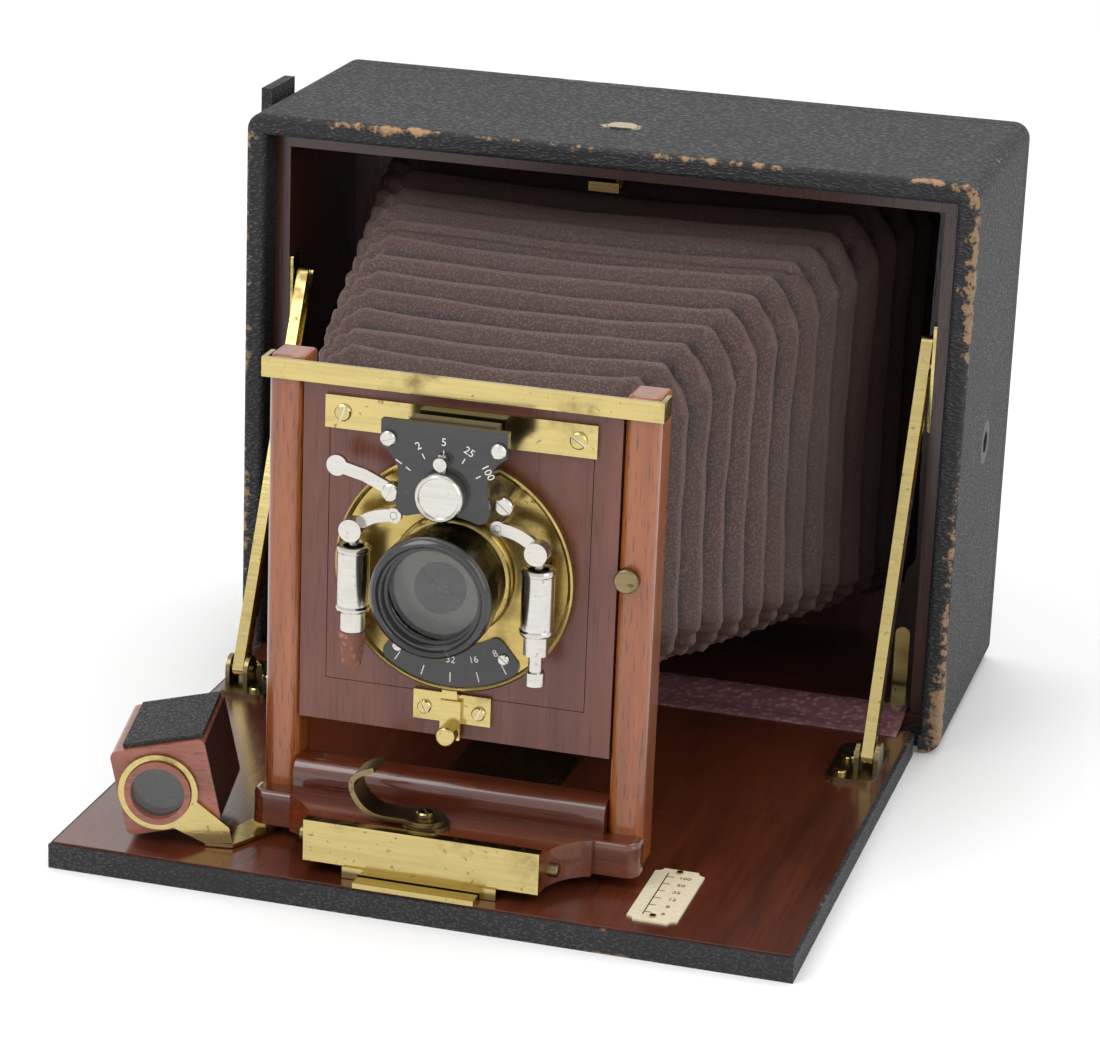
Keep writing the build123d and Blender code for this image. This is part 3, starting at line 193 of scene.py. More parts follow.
def stretched(tree, place, scale):
    """The place squeezed along each axis: long marks run along the axis with the small number."""
    settings = {"operation": "MULTIPLY"}
    return add_node(tree, "ShaderNodeVectorMath", settings, i0=place, i1=scale).outputs[0]


def new_group(name, inputs, outputs):
    """An empty shader node group with named inputs (with values) and outputs."""
    group = bpy.data.node_groups.new(name, "ShaderNodeTree")
    for label, value in inputs.items():
        kind = "NodeSocketFloat"
        if isinstance(value, tuple):
            kind = "NodeSocketColor" if len(value) == 4 else "NodeSocketVector"
        socket = group.interface.new_socket(label, in_out="INPUT", socket_type=kind)
        socket.default_value = value
    for label in outputs:
        group.interface.new_socket(label, in_out="OUTPUT", socket_type=OUT_KINDS.get(label, "NodeSocketFloat"))
    return group, group.nodes.new("NodeGroupInput"), group.nodes.new("NodeGroupOutput")


# %% [markdown]
# ### Wood grain
#
# Mahogany shows broad bands of darker and lighter wood, fine dark pores drawn out along
# the board, and a slow change of tone. Three noises do it, each squeezed along the grain.

# %% The wood grain group
wood_grain, ins, outs = new_group(
    "wood grain",
    {"Along": (1.0, 1.0, 1.0), "Light": (0.4, 0.15, 0.05, 1.0), "Dark": (0.15, 0.04, 0.02, 1.0),
     "Figure": 55.0, "Pores": 900.0, "Pore depth": 0.5},
    ["Color", "Roughness", "Height"],
)
place = add_node(wood_grain, "ShaderNodeTexCoord").outputs["Object"]
along = stretched(wood_grain, place, ins.outputs["Along"])
figure = noise(wood_grain, along, ins.outputs["Figure"], 4.0, 0.6, 0.6)
streaks = noise(wood_grain, along, maths(wood_grain, "MULTIPLY", ins.outputs["Figure"], 7.0), 3.0, 0.6)
pores = noise(wood_grain, along, ins.outputs["Pores"], 2.0, 0.5)
cloud = noise(wood_grain, place, 14.0, 2.0)
tone = maths(
    wood_grain, "ADD", maths(wood_grain, "MULTIPLY", figure, 0.65), maths(wood_grain, "MULTIPLY", streaks, 0.35)
)
wood = blend_colours(wood_grain, band(wood_grain, tone, 0.32, 0.68), ins.outputs["Dark"], ins.outputs["Light"])
pore_mask = maths(wood_grain, "MULTIPLY", band(wood_grain, pores, 0.56, 0.68), ins.outputs["Pore depth"])
wood = blend_colours(wood_grain, pore_mask, wood, (0.03, 0.009, 0.006))
wood = blend_colours(wood_grain, band(wood_grain, cloud, 0.35, 0.75, 0.0, 0.45), wood, (0.06, 0.016, 0.008))
wood_grain.links.new(wood, outs.inputs["Color"])
wood_grain.links.new(band(wood_grain, cloud, 0.3, 0.8, 0.20, 0.42), outs.inputs["Roughness"])
wood_grain.links.new(maths(wood_grain, "MULTIPLY", pore_mask, -1.0), outs.inputs["Height"])

# %% [markdown]
# ### Pebbled leather
#
# Covering leather is pressed with a grain of small cells, here a little longer than they
# are wide. Cell borders from a Voronoi texture are the grooves, and a fine noise keeps the
# cells from looking stamped. The tops of the cells are lighter in patches: partly dye worn off, partly a painted
# sheen.

# %% The leather group
pebble, ins, outs = new_group(
    "pebbled leather",
    {"Squeeze": (1.0, 1.0, 1.0), "Cells": 900.0, "Dye": (0.02, 0.02, 0.02, 1.0),
     "Tops": (0.08, 0.078, 0.075, 1.0), "Wander": 0.4},
    ["Color", "Roughness", "Height"],
)
place = add_node(pebble, "ShaderNodeTexCoord").outputs["Object"]
wander = add_node(pebble, "ShaderNodeTexNoise", None, Vector=place, Scale=160.0, Detail=1.0).outputs["Color"]
shift = add_node(pebble, "ShaderNodeVectorMath", {"operation": "SCALE"}, i0=wander, i3=0.0).outputs[0]
pebble.links.new(maths(pebble, "MULTIPLY", ins.outputs["Wander"], 0.003), shift.node.inputs[3])
moved = add_node(pebble, "ShaderNodeVectorMath", {"operation": "ADD"}, i0=place, i1=shift).outputs[0]
cells = add_node(
    pebble, "ShaderNodeTexVoronoi", {"feature": "SMOOTH_F1"},
    Vector=stretched(pebble, moved, ins.outputs["Squeeze"]), Scale=ins.outputs["Cells"], Smoothness=0.35,
).outputs["Distance"]
domes = band(pebble, cells, 0.05, 0.62, 1.0, 0.0)
hide = noise(pebble, place, 2600.0, 2.0)
height = maths(pebble, "ADD", domes, maths(pebble, "MULTIPLY", hide, 0.25))
patches = noise(pebble, place, 26.0, 3.0)
# lighter cell tops in patches: worn dye and a painted sheen
worn_tops_and_sheen = maths(pebble, "MULTIPLY", domes, band(pebble, patches, 0.3, 0.7, 0.35, 1.0))
dye = blend_colours(pebble, worn_tops_and_sheen, ins.outputs["Dye"], ins.outputs["Tops"])
pebble.links.new(dye, outs.inputs["Color"])
pebble.links.new(band(pebble, height, 0.1, 1.1, 0.75, 0.42), outs.inputs["Roughness"])
pebble.links.new(height, outs.inputs["Height"])

# %% [markdown]
# ### Worn edges of a box
#
# Wear sits where hands and tables reach: the edges and corners. For a box-shaped piece, how
# near a point is to an edge is the second smallest of its three distances to the faces, so
# a few Math nodes find it from the position alone, with no need of a special mesh.

# %% The edge wear group
edge_wear, ins, outs = new_group(
    "edge wear",
    {"Centre": (0.0, 0.0, 0.0), "Half size": (0.1, 0.1, 0.1), "Reach": 0.003, "Breakup": 260.0, "Amount": 0.5},
    ["Mask"],
)
place = add_node(edge_wear, "ShaderNodeTexCoord").outputs["Object"]
offset = add_node(
    edge_wear, "ShaderNodeVectorMath", {"operation": "SUBTRACT"}, i0=place, i1=ins.outputs["Centre"]
).outputs[0]
folded = add_node(edge_wear, "ShaderNodeVectorMath", {"operation": "ABSOLUTE"}, i0=offset).outputs[0]
depth = add_node(
    edge_wear, "ShaderNodeVectorMath", {"operation": "SUBTRACT"}, i0=ins.outputs["Half size"], i1=folded
).outputs[0]
x, y, z = add_node(edge_wear, "ShaderNodeSeparateXYZ", None, i0=depth).outputs
low = maths(edge_wear, "MINIMUM", x, y)
high = maths(edge_wear, "MAXIMUM", x, y)
second = maths(edge_wear, "MAXIMUM", low, maths(edge_wear, "MINIMUM", high, z))
near = maths(edge_wear, "SUBTRACT", 1.0, maths(edge_wear, "DIVIDE", second, ins.outputs["Reach"]))
ragged = maths(
    edge_wear, "ADD", noise(edge_wear, place, ins.outputs["Breakup"], 4.0, 0.65), noise(edge_wear, place, 30.0, 2.0)
)
reached = maths(edge_wear, "ADD", near, maths(edge_wear, "MULTIPLY", maths(edge_wear, "SUBTRACT", ragged, 1.0), 3.0))
worn = band(
    edge_wear, reached,
    maths(edge_wear, "SUBTRACT", 1.35, ins.outputs["Amount"]),
    maths(edge_wear, "SUBTRACT", 1.75, ins.outputs["Amount"]),
)
edge_wear.links.new(worn, outs.inputs["Mask"])

# %% [markdown]
# ### Tarnish and handling marks
#
# Old brass is bright where it is rubbed and brown-olive where it is not, with pin-prick
# spots and hair-fine scratches along the way it was polished.

# %% The tarnish group
tarnish, ins, outs = new_group(
    "tarnish",
    {"Bright": (0.7, 0.55, 0.2, 1.0), "Dull": (0.2, 0.15, 0.06, 1.0), "Amount": 0.5, "Brushed": (30.0, 900.0, 900.0),
     "Smooth": 0.18, "Rough": 0.45},
    ["Color", "Roughness", "Height"],
)
place = add_node(tarnish, "ShaderNodeTexCoord").outputs["Object"]
clouds = noise(tarnish, place, 70.0, 4.0, 0.62)
spots = band(tarnish, noise(tarnish, place, 620.0, 2.0), 0.66, 0.74)
lines = noise(tarnish, stretched(tarnish, place, ins.outputs["Brushed"]), 1.0, 2.0)
start = maths(tarnish, "SUBTRACT", 0.78, maths(tarnish, "MULTIPLY", ins.outputs["Amount"], 0.5))
aged = band(tarnish, clouds, start, maths(tarnish, "ADD", start, 0.25))
mask = maths(tarnish, "MAXIMUM", aged, maths(tarnish, "MULTIPLY", spots, 0.7))
metal = blend_colours(tarnish, mask, ins.outputs["Bright"], ins.outputs["Dull"])
metal = blend_colours(tarnish, band(tarnish, lines, 0.3, 0.8, 0.0, 0.22), metal, ins.outputs["Dull"])
tarnish.links.new(metal, outs.inputs["Color"])
tarnish.links.new(band(tarnish, mask, 0.0, 1.0, ins.outputs["Smooth"], ins.outputs["Rough"]), outs.inputs["Roughness"])
tarnish.links.new(lines, outs.inputs["Height"])
print("groups", [g.name for g in bpy.data.node_groups])

# %% [markdown]
# ## Finishes
#
# Each finish is one Principled shader. What is the same all over - how metallic it is, how
# much lacquer lies on it - is set on the shader itself; what varies comes from a group.

# %% Helpers for a finish
def finish_of(name, group, values, bump_by, metallic=0.0, coat=0.0, coat_rough=0.08, sheen=0.0):
    """A material from one of the groups: its colour, roughness and height feed the shader."""
    made = bpy.data.materials.new(name)
    made.use_nodes = True
    tree = made.node_tree
    shader = tree.nodes["Principled BSDF"]
    shader.inputs["Metallic"].default_value = metallic
    shader.inputs["Coat Weight"].default_value = coat
    shader.inputs["Coat Roughness"].default_value = coat_rough
    shader.inputs["Sheen Weight"].default_value = sheen
    node = tree.nodes.new("ShaderNodeGroup")
    node.node_tree = group
    for label, value in values.items():
        node.inputs[label].default_value = (*value, 1) if label in COLOURS else value
    bump = add_node(tree, "ShaderNodeBump", None, Strength=1.0, Distance=bump_by, Height=node.outputs["Height"])
    tree.links.new(node.outputs["Color"], shader.inputs["Base Color"])
    tree.links.new(node.outputs["Roughness"], shader.inputs["Roughness"])
    tree.links.new(bump.outputs["Normal"], shader.inputs["Normal"])
    return made


COLOURS = {"Light", "Dark", "Dye", "Tops", "Bright", "Dull"}


def wear_to(made, centre, half, reach, amount, colour, breakup=260.0):
    """Worn edges laid over a finish: bare leather or wood shows where the mask is."""
    tree = made.node_tree
    shader = tree.nodes["Principled BSDF"]
    under = shader.inputs["Base Color"].links[0].from_socket
    node = tree.nodes.new("ShaderNodeGroup")
    node.node_tree = edge_wear
    settings = (("Centre", centre), ("Half size", half), ("Reach", reach), ("Amount", amount), ("Breakup", breakup))
    for label, value in settings:
        node.inputs[label].default_value = value
    tree.links.new(blend_colours(tree, node.outputs["Mask"], under, colour), shader.inputs["Base Color"])
    return made


# %% Wood finishes
ALONG_X, ALONG_Y, ALONG_Z = (0.07, 1.0, 1.0), (1.0, 0.07, 1.0), (1.0, 1.0, 0.07)


def mahogany(name, along, light, dark, coat, figure=60.0, pores=1500.0, depth=0.5, coat_rough=0.08, bump_by=0.00004):
    values = {"Along": along, "Light": light, "Dark": dark, "Figure": figure, "Pores": pores, "Pore depth": depth}
    return finish_of(name, wood_grain, values, bump_by, coat=coat, coat_rough=coat_rough)


bed_polish = mahogany("bed polish", ALONG_Y, (0.125, 0.026, 0.009), (0.045, 0.009, 0.004), 0.75, coat_rough=0.16)
plank_polish = mahogany("plank polish", ALONG_X, (0.22, 0.044, 0.012), (0.085, 0.015, 0.005), 0.9, depth=0.6)
upright_polish = mahogany(
    "upright polish", ALONG_Z, (0.40, 0.112, 0.022), (0.20, 0.045, 0.010), 0.8,
    pores=2600.0, depth=0.6, bump_by=0.00003,
)
panel_wood = mahogany(
    "panel wood", ALONG_Z, (0.185, 0.060, 0.040), (0.115, 0.033, 0.021), 0.22,
    figure=90.0, depth=0.35, coat_rough=0.35,
)
inside_wood = mahogany("inside wood", ALONG_Z, (0.060, 0.011, 0.006), (0.024, 0.005, 0.003), 0.4, coat_rough=0.25)
finder_wood = mahogany(
    "finder wood", ALONG_X, (0.33, 0.105, 0.065), (0.20, 0.055, 0.033), 0.35,
    figure=90.0, depth=0.4, coat_rough=0.3,
)
print("woods", bed_polish.name, plank_polish.name, upright_polish.name, panel_wood.name)

# %% Leather finishes
BLACK_DYE, BLACK_TOPS, BARE_HIDE = (0.011, 0.011, 0.013), (0.048, 0.048, 0.052), (0.36, 0.21, 0.10)


def leather(name, cells, dye, tops, bump_by, squeeze=(1.0, 1.0, 1.0), wander=0.4, coat=0.0):
    values = {"Squeeze": squeeze, "Cells": cells, "Dye": dye, "Tops": tops, "Wander": wander}
    return finish_of(name, pebble, values, bump_by, coat=coat, coat_rough=0.3)


case_leather = leather("case leather", 1900.0, BLACK_DYE, BLACK_TOPS, 0.00022, (0.38, 0.7, 1.0), 0.7)
wear_to(case_leather, (0, 0, 0.0677), (0.086, 0.0354, 0.0677), 0.0032, 0.50, BARE_HIDE)
# the two upright front edges are rubbed most: a box this tall has no other edge nearby
wear_to(case_leather, (0, 1.0, 0.0677), (0.086, 1.0354, 5.0), 0.0042, 0.74, (0.27, 0.165, 0.085), 520.0)
bed_leather = leather("bed leather", 1900.0, BLACK_DYE, BLACK_TOPS, 0.00018, (0.6, 1.0, 1.0), 0.7)
wear_to(bed_leather, (0, -0.1011, 0.003), (0.0803, 0.0643, 0.003), 0.0014, 0.30, (0.22, 0.13, 0.06))
smooth_leather = leather("smooth black leather", 1500.0, (0.011, 0.010, 0.010), (0.055, 0.052, 0.05), 0.0001)
bellows_leather = leather("bellows leather", 1700.0, (0.052, 0.025, 0.020), (0.098, 0.053, 0.043), 0.00005, wander=0.3)
strip_leather = leather("hinge strip leather", 560.0, (0.16, 0.062, 0.068), (0.33, 0.175, 0.185), 0.0002, coat=0.6)

# the patch that thumbs have rubbed over the release button
tree = case_leather.node_tree
shader = tree.nodes["Principled BSDF"]
under = shader.inputs["Base Color"].links[0].from_socket
place = add_node(tree, "ShaderNodeTexCoord").outputs["Object"]
BUTTON = (-0.002, -0.0119, 0.1354)
from_button = add_node(tree, "ShaderNodeVectorMath", {"operation": "SUBTRACT"}, i0=place, i1=BUTTON).outputs[0]
oval = stretched(tree, from_button, (0.8, 1.2, 1.0))
reach = add_node(tree, "ShaderNodeVectorMath", {"operation": "LENGTH"}, i0=oval).outputs["Value"]
torn = maths(tree, "ADD", reach, maths(tree, "MULTIPLY", noise(tree, place, 330.0, 3.0), 0.0032))
rubbed = blend_colours(tree, band(tree, torn, 0.0055, 0.0048, 0.0, 0.85), under, (0.48, 0.40, 0.26))
tree.links.new(rubbed, shader.inputs["Base Color"])
button_leather = case_leather.copy()
button_leather.name = "button leather"

# painted shade in the bellows' valleys and a painted highlight on the ridges: the mesh carries how near each point is
# to a ridge
tree = bellows_leather.node_tree
shader = tree.nodes["Principled BSDF"]
under = shader.inputs["Base Color"].links[0].from_socket
ridge = add_node(tree, "ShaderNodeAttribute", {"attribute_name": "ridge"}).outputs["Fac"]
# painted shade: the colour darkens towards each valley
valley_painted_shade = blend_colours(tree, band(tree, ridge, 0.02, 0.6), (0.010, 0.005, 0.006), under)
# painted highlight: the ridge tops lightened towards a pale brown
ridge_painted_highlight = blend_colours(tree, band(tree, ridge, 0.86, 1.0, 0.0, 0.30), valley_painted_shade, (0.17, 0.105, 0.092))
place = add_node(tree, "ShaderNodeTexCoord").outputs["Object"]
depth_in = add_node(tree, "ShaderNodeSeparateXYZ", None, i0=place).outputs[1]
# painted shade: the bellows darkened towards the back
rear_painted_shade = blend_colours(tree, band(tree, depth_in, -0.09, 0.01, 0.0, 0.62), ridge_painted_highlight, (0.016, 0.008, 0.008))
tree.links.new(rear_painted_shade, shader.inputs["Base Color"])
print("leathers", case_leather.name, bed_leather.name, bellows_leather.name)

# %% Metal, enamel, glass and card
def metal(name, bright, dull, amount, smooth=0.16, rough=0.42, brushed=(60.0, 1500.0, 1500.0)):
    values = {"Bright": bright, "Dull": dull, "Amount": amount, "Smooth": smooth, "Rough": rough, "Brushed": brushed}
    return finish_of(name, tarnish, values, 0.000012, metallic=1.0)


bright_brass = metal("bright brass", (0.60, 0.48, 0.20), (0.22, 0.165, 0.06), 0.50)
disc_brass = metal("disc brass", (0.52, 0.39, 0.135), (0.25, 0.175, 0.055), 0.62, 0.24, 0.42)
dull_brass = metal("dull brass", (0.26, 0.20, 0.10), (0.09, 0.07, 0.04), 0.60, 0.28, 0.5)
nickel = metal("nickel", (0.62, 0.60, 0.55), (0.34, 0.31, 0.26), 0.42, 0.18, 0.38)
steel = metal("plain steel", (0.42, 0.41, 0.39), (0.2, 0.18, 0.16), 0.5, 0.3, 0.5)
blackened = metal("blackened brass", (0.055, 0.05, 0.045), (0.12, 0.09, 0.05), 0.3, 0.22, 0.4)
enamel_look = {"Bright": (0.012, 0.012, 0.013), "Dull": (0.045, 0.044, 0.042),
               "Amount": 0.35, "Smooth": 0.22, "Rough": 0.4}
enamel = finish_of("black enamel", tarnish, enamel_look, 0.00001, coat=0.5)
old_rubber = leather("perished rubber", 700.0, (0.20, 0.075, 0.05), (0.42, 0.20, 0.145), 0.0004)
card = leather("ivory card", 900.0, (0.66, 0.58, 0.40), (0.82, 0.77, 0.60), 0.00002)
MATT = {"Amount": 0.4, "Smooth": 0.5, "Rough": 0.7}
ink = finish_of("ink", tarnish, {"Bright": (0.02, 0.018, 0.015), "Dull": (0.05, 0.04, 0.03), **MATT}, 0.00001)
white_look = {"Bright": (0.72, 0.71, 0.67), "Dull": (0.42, 0.41, 0.38), **MATT}
white_paint = finish_of("white filling", tarnish, white_look, 0.00001)


def glass_of(name, tint, grind, smear):
    """Glass with a faint film of dust: roughness rises a little in clouds."""
    made = bpy.data.materials.new(name)
    made.use_nodes = True
    tree = made.node_tree
    shader = tree.nodes["Principled BSDF"]
    shader.inputs["Base Color"].default_value = (*tint, 1)
    shader.inputs["Transmission Weight"].default_value = 1.0
    shader.inputs["IOR"].default_value = 1.6
    place = add_node(tree, "ShaderNodeTexCoord").outputs["Object"]
    film = band(tree, noise(tree, place, 260.0, 3.0), 0.4, 0.7, grind, grind + smear)
    tree.links.new(film, shader.inputs["Roughness"])
    return made


# the finder's outer side is covered in black leather
tree = finder_wood.node_tree
shader = tree.nodes["Principled BSDF"]
under = shader.inputs["Base Color"].links[0].from_socket
place = add_node(tree, "ShaderNodeTexCoord").outputs["Object"]
FINDER_LENS, FINDER_RIGHT = (-0.0586, -0.1574, 0.0176), (0.9568, 0.2034, 0.2079)
from_lens = add_node(tree, "ShaderNodeVectorMath", {"operation": "SUBTRACT"}, i0=place, i1=FINDER_LENS).outputs[0]
across = add_node(
    tree, "ShaderNodeVectorMath", {"operation": "DOT_PRODUCT"}, i0=from_lens, i1=FINDER_RIGHT
).outputs["Value"]
covered = blend_colours(tree, band(tree, across, 0.01165, 0.01178), under, (0.014, 0.013, 0.013))
tree.links.new(covered, shader.inputs["Base Color"])

clear_glass = glass_of("lens glass", (0.93, 0.96, 0.94), 0.02, 0.08)
ground_glass = glass_of("ground glass", (0.86, 0.88, 0.86), 0.5, 0.1)
print("metals and glass", len(bpy.data.materials), "materials so far")

# %% Which finish each CAD piece has
pieces_by_finish = {
    case_leather: ["case_shell", "back_door"],
    button_leather: ["release_button"],
    bed_leather: ["bed_cover"],
    smooth_leather: ["handle_strap", "finder_flap"],
    inside_wood: ["case_liner", "case_floor", "bellows_rear_frame"],
    bed_polish: ["bed_board"],
    plank_polish: ["base_plank", "base_block"],
    upright_polish: ["uprights", "focus_frame"],
    panel_wood: ["panel_frame", "lens_board"],
    finder_wood: ["finder_body"],
    bright_brass: ["wall_fittings", "track_plate", "brace_left", "brace_right", "top_bar", "nameplate", "track_clamp",
                   "finder_bracket", "board_plates", "bed_screws", "focus_springs", "latch_hook", "board_catch",
                   "aperture_pointer"],
    disc_brass: ["shutter_disc"],
    dull_brass: ["case_hinge_leaves", "strap_keepers", "door_hinge_leaves", "bed_hinge_leaves",
                 "brace_brackets", "standard_screws", "lock_lever", "rise_knob"],
    steel: ["hinge_pins"],
    nickel: ["front_screws", "speed_dial", "trigger_lever", "plunger_arm_left", "plunger_arm_right", "air_cylinders"],
    enamel: ["dial_housing", "aperture_scale"],
    blackened: ["lens_barrel"],
    ink: ["tripod_bushes"],
    clear_glass: ["lens_glass", "finder_optics"],
    ground_glass: ["ground_glass"],
    card: ["scale_card"],
    old_rubber: ["hose_stub"],
    bellows_leather: ["bellows_tip", "bellows_middle", "bellows_rear"],
    strip_leather: ["hinge_strip"],
}
for made, names in pieces_by_finish.items():
    for name in names:
        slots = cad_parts[name].data.materials
        slots.clear()
        slots.append(made)
unfinished = set(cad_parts) - {n for names in pieces_by_finish.values() for n in names}
print("CAD pieces with no finish:", sorted(unfinished))

# %% [markdown]
# ## A helper for new pieces
#
# Every new piece is one mesh with its place in its vertices and its object at the origin,
# like the CAD nodes, so that a pattern on object coordinates stays put.

# %% Finishing a new piece
def piece(name, mesh, made, body=None, smooth=35):
    """An object from a bmesh: finish, slot and the body that carries it."""
    data = bpy.data.meshes.new(name)
    mesh.to_mesh(data)
    mesh.free()
    for face in data.polygons:
        face.use_smooth = True
    data.materials.append(made)
    obj = bpy.data.objects.new(name, data)
    bpy.context.scene.collection.objects.link(obj)
    data.set_sharp_from_angle(angle=math.radians(smooth))
    if body:
        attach(obj, body)
    return obj


# %% [markdown]
# ## The bellows
#
# The bellows is one long sheet of thin leather, creased across into pleats and glued into a
# tapered square tube. Card stiffeners keep the sides flat, and between them, at the four
# corners, the leather has to fold two ways at once, which gives the slanting puckers. It
# starts here as a flat grid, as the real sheet does, and is then rolled: each row of
# points goes round the tube, and the crease depth follows a triangle wave along it. Round
# each corner the wave slips by half a pleat, so a ridge on top meets a valley on the side,
# and the slip draws the slanting puckers by itself.

# %% The bellows' sections
NECK_Y, BACK_Y, TIP_Y, SPLIT_Y = -0.1253, 0.0196, -0.1343, -0.0474
SECTIONS = [(TIP_Y, 0.0310, 0.0390, 0.1044), (NECK_Y, 0.0395, 0.0435, 0.1075), (BACK_Y, 0.0690, 0.0190, 0.1238)]
PLEATS = 13.5
CREASE = 0.0037
CHAMFER = 0.0100
FLAT_STEPS, CORNER_STEPS = 14, 12


def section(y):
    """Half width, low and high of the tube at y."""
    for (y0, *a), (y1, *b) in zip(SECTIONS, SECTIONS[1:]):
        if y <= y1 + 1e-9:
            share = (y - y0) / (y1 - y0)
            return [p + (q - p) * share for p, q in zip(a, b)]
    return SECTIONS[-1][1:]


def wave(phase):
    """A crease's height at a place along the pleats: 1 at a ridge and 0 in a valley."""
    distance = abs((phase % 1.0) - 0.5) * 2
    return 1 - distance ** 1.5


random.seed(41)
pleat_depth = [random.uniform(0.84, 1.0) for _ in range(64)]
pleat_slip = [random.uniform(-0.06, 0.06) for _ in range(64)]


# %% Rolling the sheet
def ring_stops():
    """Places round the tube: side index, share along that side or corner, and whether it is a corner."""
    stops = []
    for side in range(4):
        stops += [(side, i / FLAT_STEPS, False) for i in range(FLAT_STEPS)]
        stops += [(side, i / CORNER_STEPS, True) for i in range(CORNER_STEPS)]
    return stops


def bellows_point(stop, y):
    """Where a point of the sheet lies once it is rolled and creased, and how near a ridge it is."""
    side, share, corner = stop
    half, low, high = section(y)
    corners = [(-half, high), (half, high), (half, low), (-half, low)]
    a, b, c = (Vector(corners[(side + k) % 4]) for k in range(3))
    run, turn = (b - a).normalized(), (c - b).normalized()
    start, end = a + run * CHAMFER, b - run * CHAMFER
    outward = Vector((-run.y, run.x))
    along = (y - NECK_Y) / (BACK_Y - NECK_Y) * PLEATS
    top = side % 2 == 0
    here, there = (0.0, 0.5) if top else (0.5, 1.0)
    ease = min(1.0, max(0.0, (y - TIP_Y) / 0.006, 0.0)) * min(1.0, (BACK_Y - y) / 0.004 + 0.15)
    if corner:
        eased = share * share * (3 - 2 * share)
        slip = here + (there - here) * eased if top else 0.5 - 0.5 * eased
        flat = (b - run * CHAMFER).lerp(b + turn * CHAMFER, share)
        bow = math.sin(share * math.pi)
        outward = (outward * (1 - share) + Vector((-turn.y, turn.x)) * share).normalized()
        base = flat + outward * bow * 0.0022
        depth = CREASE * (1 + 0.75 * bow)
        pucker = math.sin((along * 2 + share * 2.4) * math.pi * 2) * 0.0006 * bow
    else:
        slip = here
        base = start.lerp(end, share)
        depth = CREASE
        pucker = 0.0
        base = base - outward * 0.0011 * math.sin(share * math.pi) * (1 if top else 0.6)
    phase = along + slip
    number = int(math.floor(phase)) % 64
    phase += pleat_slip[number] * math.sin(phase % 1.0 * math.pi)
    sink = depth * (1 - wave(phase) * pleat_depth[number])
    place = base - outward * (sink * ease) + outward * pucker
    waver = math.sin(y * 410 + side * 2 + share * 5) * 0.00018 + math.sin(share * 17 + along * 3.1) * 0.00014
    place += outward * waver * ease
    return Vector((place.x, y, place.y)), 1 - (1 - wave(phase)) * ease


def bellows_piece(name, from_y, to_y, rows):
    """One stretch of the bellows from a flat grid, rolled into its tube and closed along the seam."""
    stops = ring_stops()
    round_steps = len(stops)
    sheet = bmesh.new()
    bmesh.ops.create_grid(sheet, x_segments=round_steps, y_segments=rows, size=0.5)
    ridge = sheet.verts.layers.float.new("ridge")
    for point in sheet.verts:
        around = round((point.co.x + 0.5) * round_steps) % round_steps
        along_y = from_y + (to_y - from_y) * (point.co.y + 0.5)
        point.co, point[ridge] = bellows_point(stops[around], along_y)
    bmesh.ops.remove_doubles(sheet, verts=sheet.verts, dist=1e-7)
    bmesh.ops.recalc_face_normals(sheet, faces=sheet.faces)
    made = piece(name, sheet, bellows_leather, smooth=60)
    skin = made.modifiers.new("leather thickness", "SOLIDIFY")
    skin.thickness = 0.0005
    skin.offset = -1
    print(name, len(made.data.vertices), "points")
    return made


# the three stretches, cut at the neck and at the split
bellows_front = bellows_piece("bellows_front", TIP_Y + 0.0002, NECK_Y, 12)
bellows_centre = bellows_piece("bellows_centre", NECK_Y, SPLIT_Y, 104)
bellows_back = bellows_piece("bellows_back", SPLIT_Y, BACK_Y, 90)
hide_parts("bellows_tip")
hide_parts("bellows_middle")
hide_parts("bellows_rear")
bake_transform(bellows_front)
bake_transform(bellows_centre)
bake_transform(bellows_back)

# %% [markdown]
# ## The strip over the hinge
#
# Thin leather glued to the bed and to the floor of the case covers the joint between them.
# It is worn shiny and slightly puckered.

# %% The hinge strip
STRIP_STOPS = [(-0.0418, 0.00595), (-0.0402, 0.00645), (-0.0368, 0.0066), (-0.0338, 0.0074),
               (-0.0308, 0.00825), (-0.0272, 0.0083), (-0.0258, 0.00775)]
strip = bmesh.new()
strip_rows = len(STRIP_STOPS) - 1
bmesh.ops.create_grid(strip, x_segments=90, y_segments=strip_rows * 3, size=0.5)
for point in strip.verts:
    along = (point.co.y + 0.5) * strip_rows
    stop = min(int(along), strip_rows - 1)
    y, z = (p + (q - p) * (along - stop) for p, q in zip(STRIP_STOPS[stop], STRIP_STOPS[stop + 1]))
    pucker = math.sin(point.co.x * 210) * math.sin(point.co.x * 77 + along) * 0.00012
    point.co = Vector((point.co.x * 0.1538, y, z + pucker + 0.0001))
bmesh.ops.recalc_face_normals(strip, faces=strip.faces)
strip_piece = piece("hinge_strip_leather", strip, strip_leather, smooth=60)
skin = strip_piece.modifiers.new("leather thickness", "SOLIDIFY")
skin.thickness = 0.0004
skin.offset = -1
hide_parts("hinge_strip")
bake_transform(strip_piece)
print("hinge strip", len(strip_piece.data.vertices), "points")

# %% [markdown]
# ## Turned pieces
#
# Whatever comes off a lathe - the lens rim, the shutter's edge, the air cylinders - is a
# profile spun about its axis. use_merge closes the seam of a full turn.

# %% A lathe
def turned(profile, centre, axis="y", steps=72):
    """A closed profile of (radius, distance along the axis), spun a full turn round the centre."""
    mesh = bmesh.new()
    points = []
    for radius, along in profile:
        co = Vector((radius, along, 0)) if axis == "y" else Vector((radius, 0, along))
        points.append(mesh.verts.new(co + Vector(centre)))
    edges = [mesh.edges.new((a, b)) for a, b in zip(points, points[1:] + points[:1])]
    turn = Vector((0, 1, 0)) if axis == "y" else Vector((0, 0, 1))
    bmesh.ops.spin(mesh, geom=points + edges, cent=centre, axis=turn, angle=math.tau, steps=steps, use_merge=True)
    bmesh.ops.remove_doubles(mesh, verts=mesh.verts, dist=1e-7)
    bmesh.ops.recalc_face_normals(mesh, faces=mesh.faces)
    return mesh


LENS_Z = 0.0686
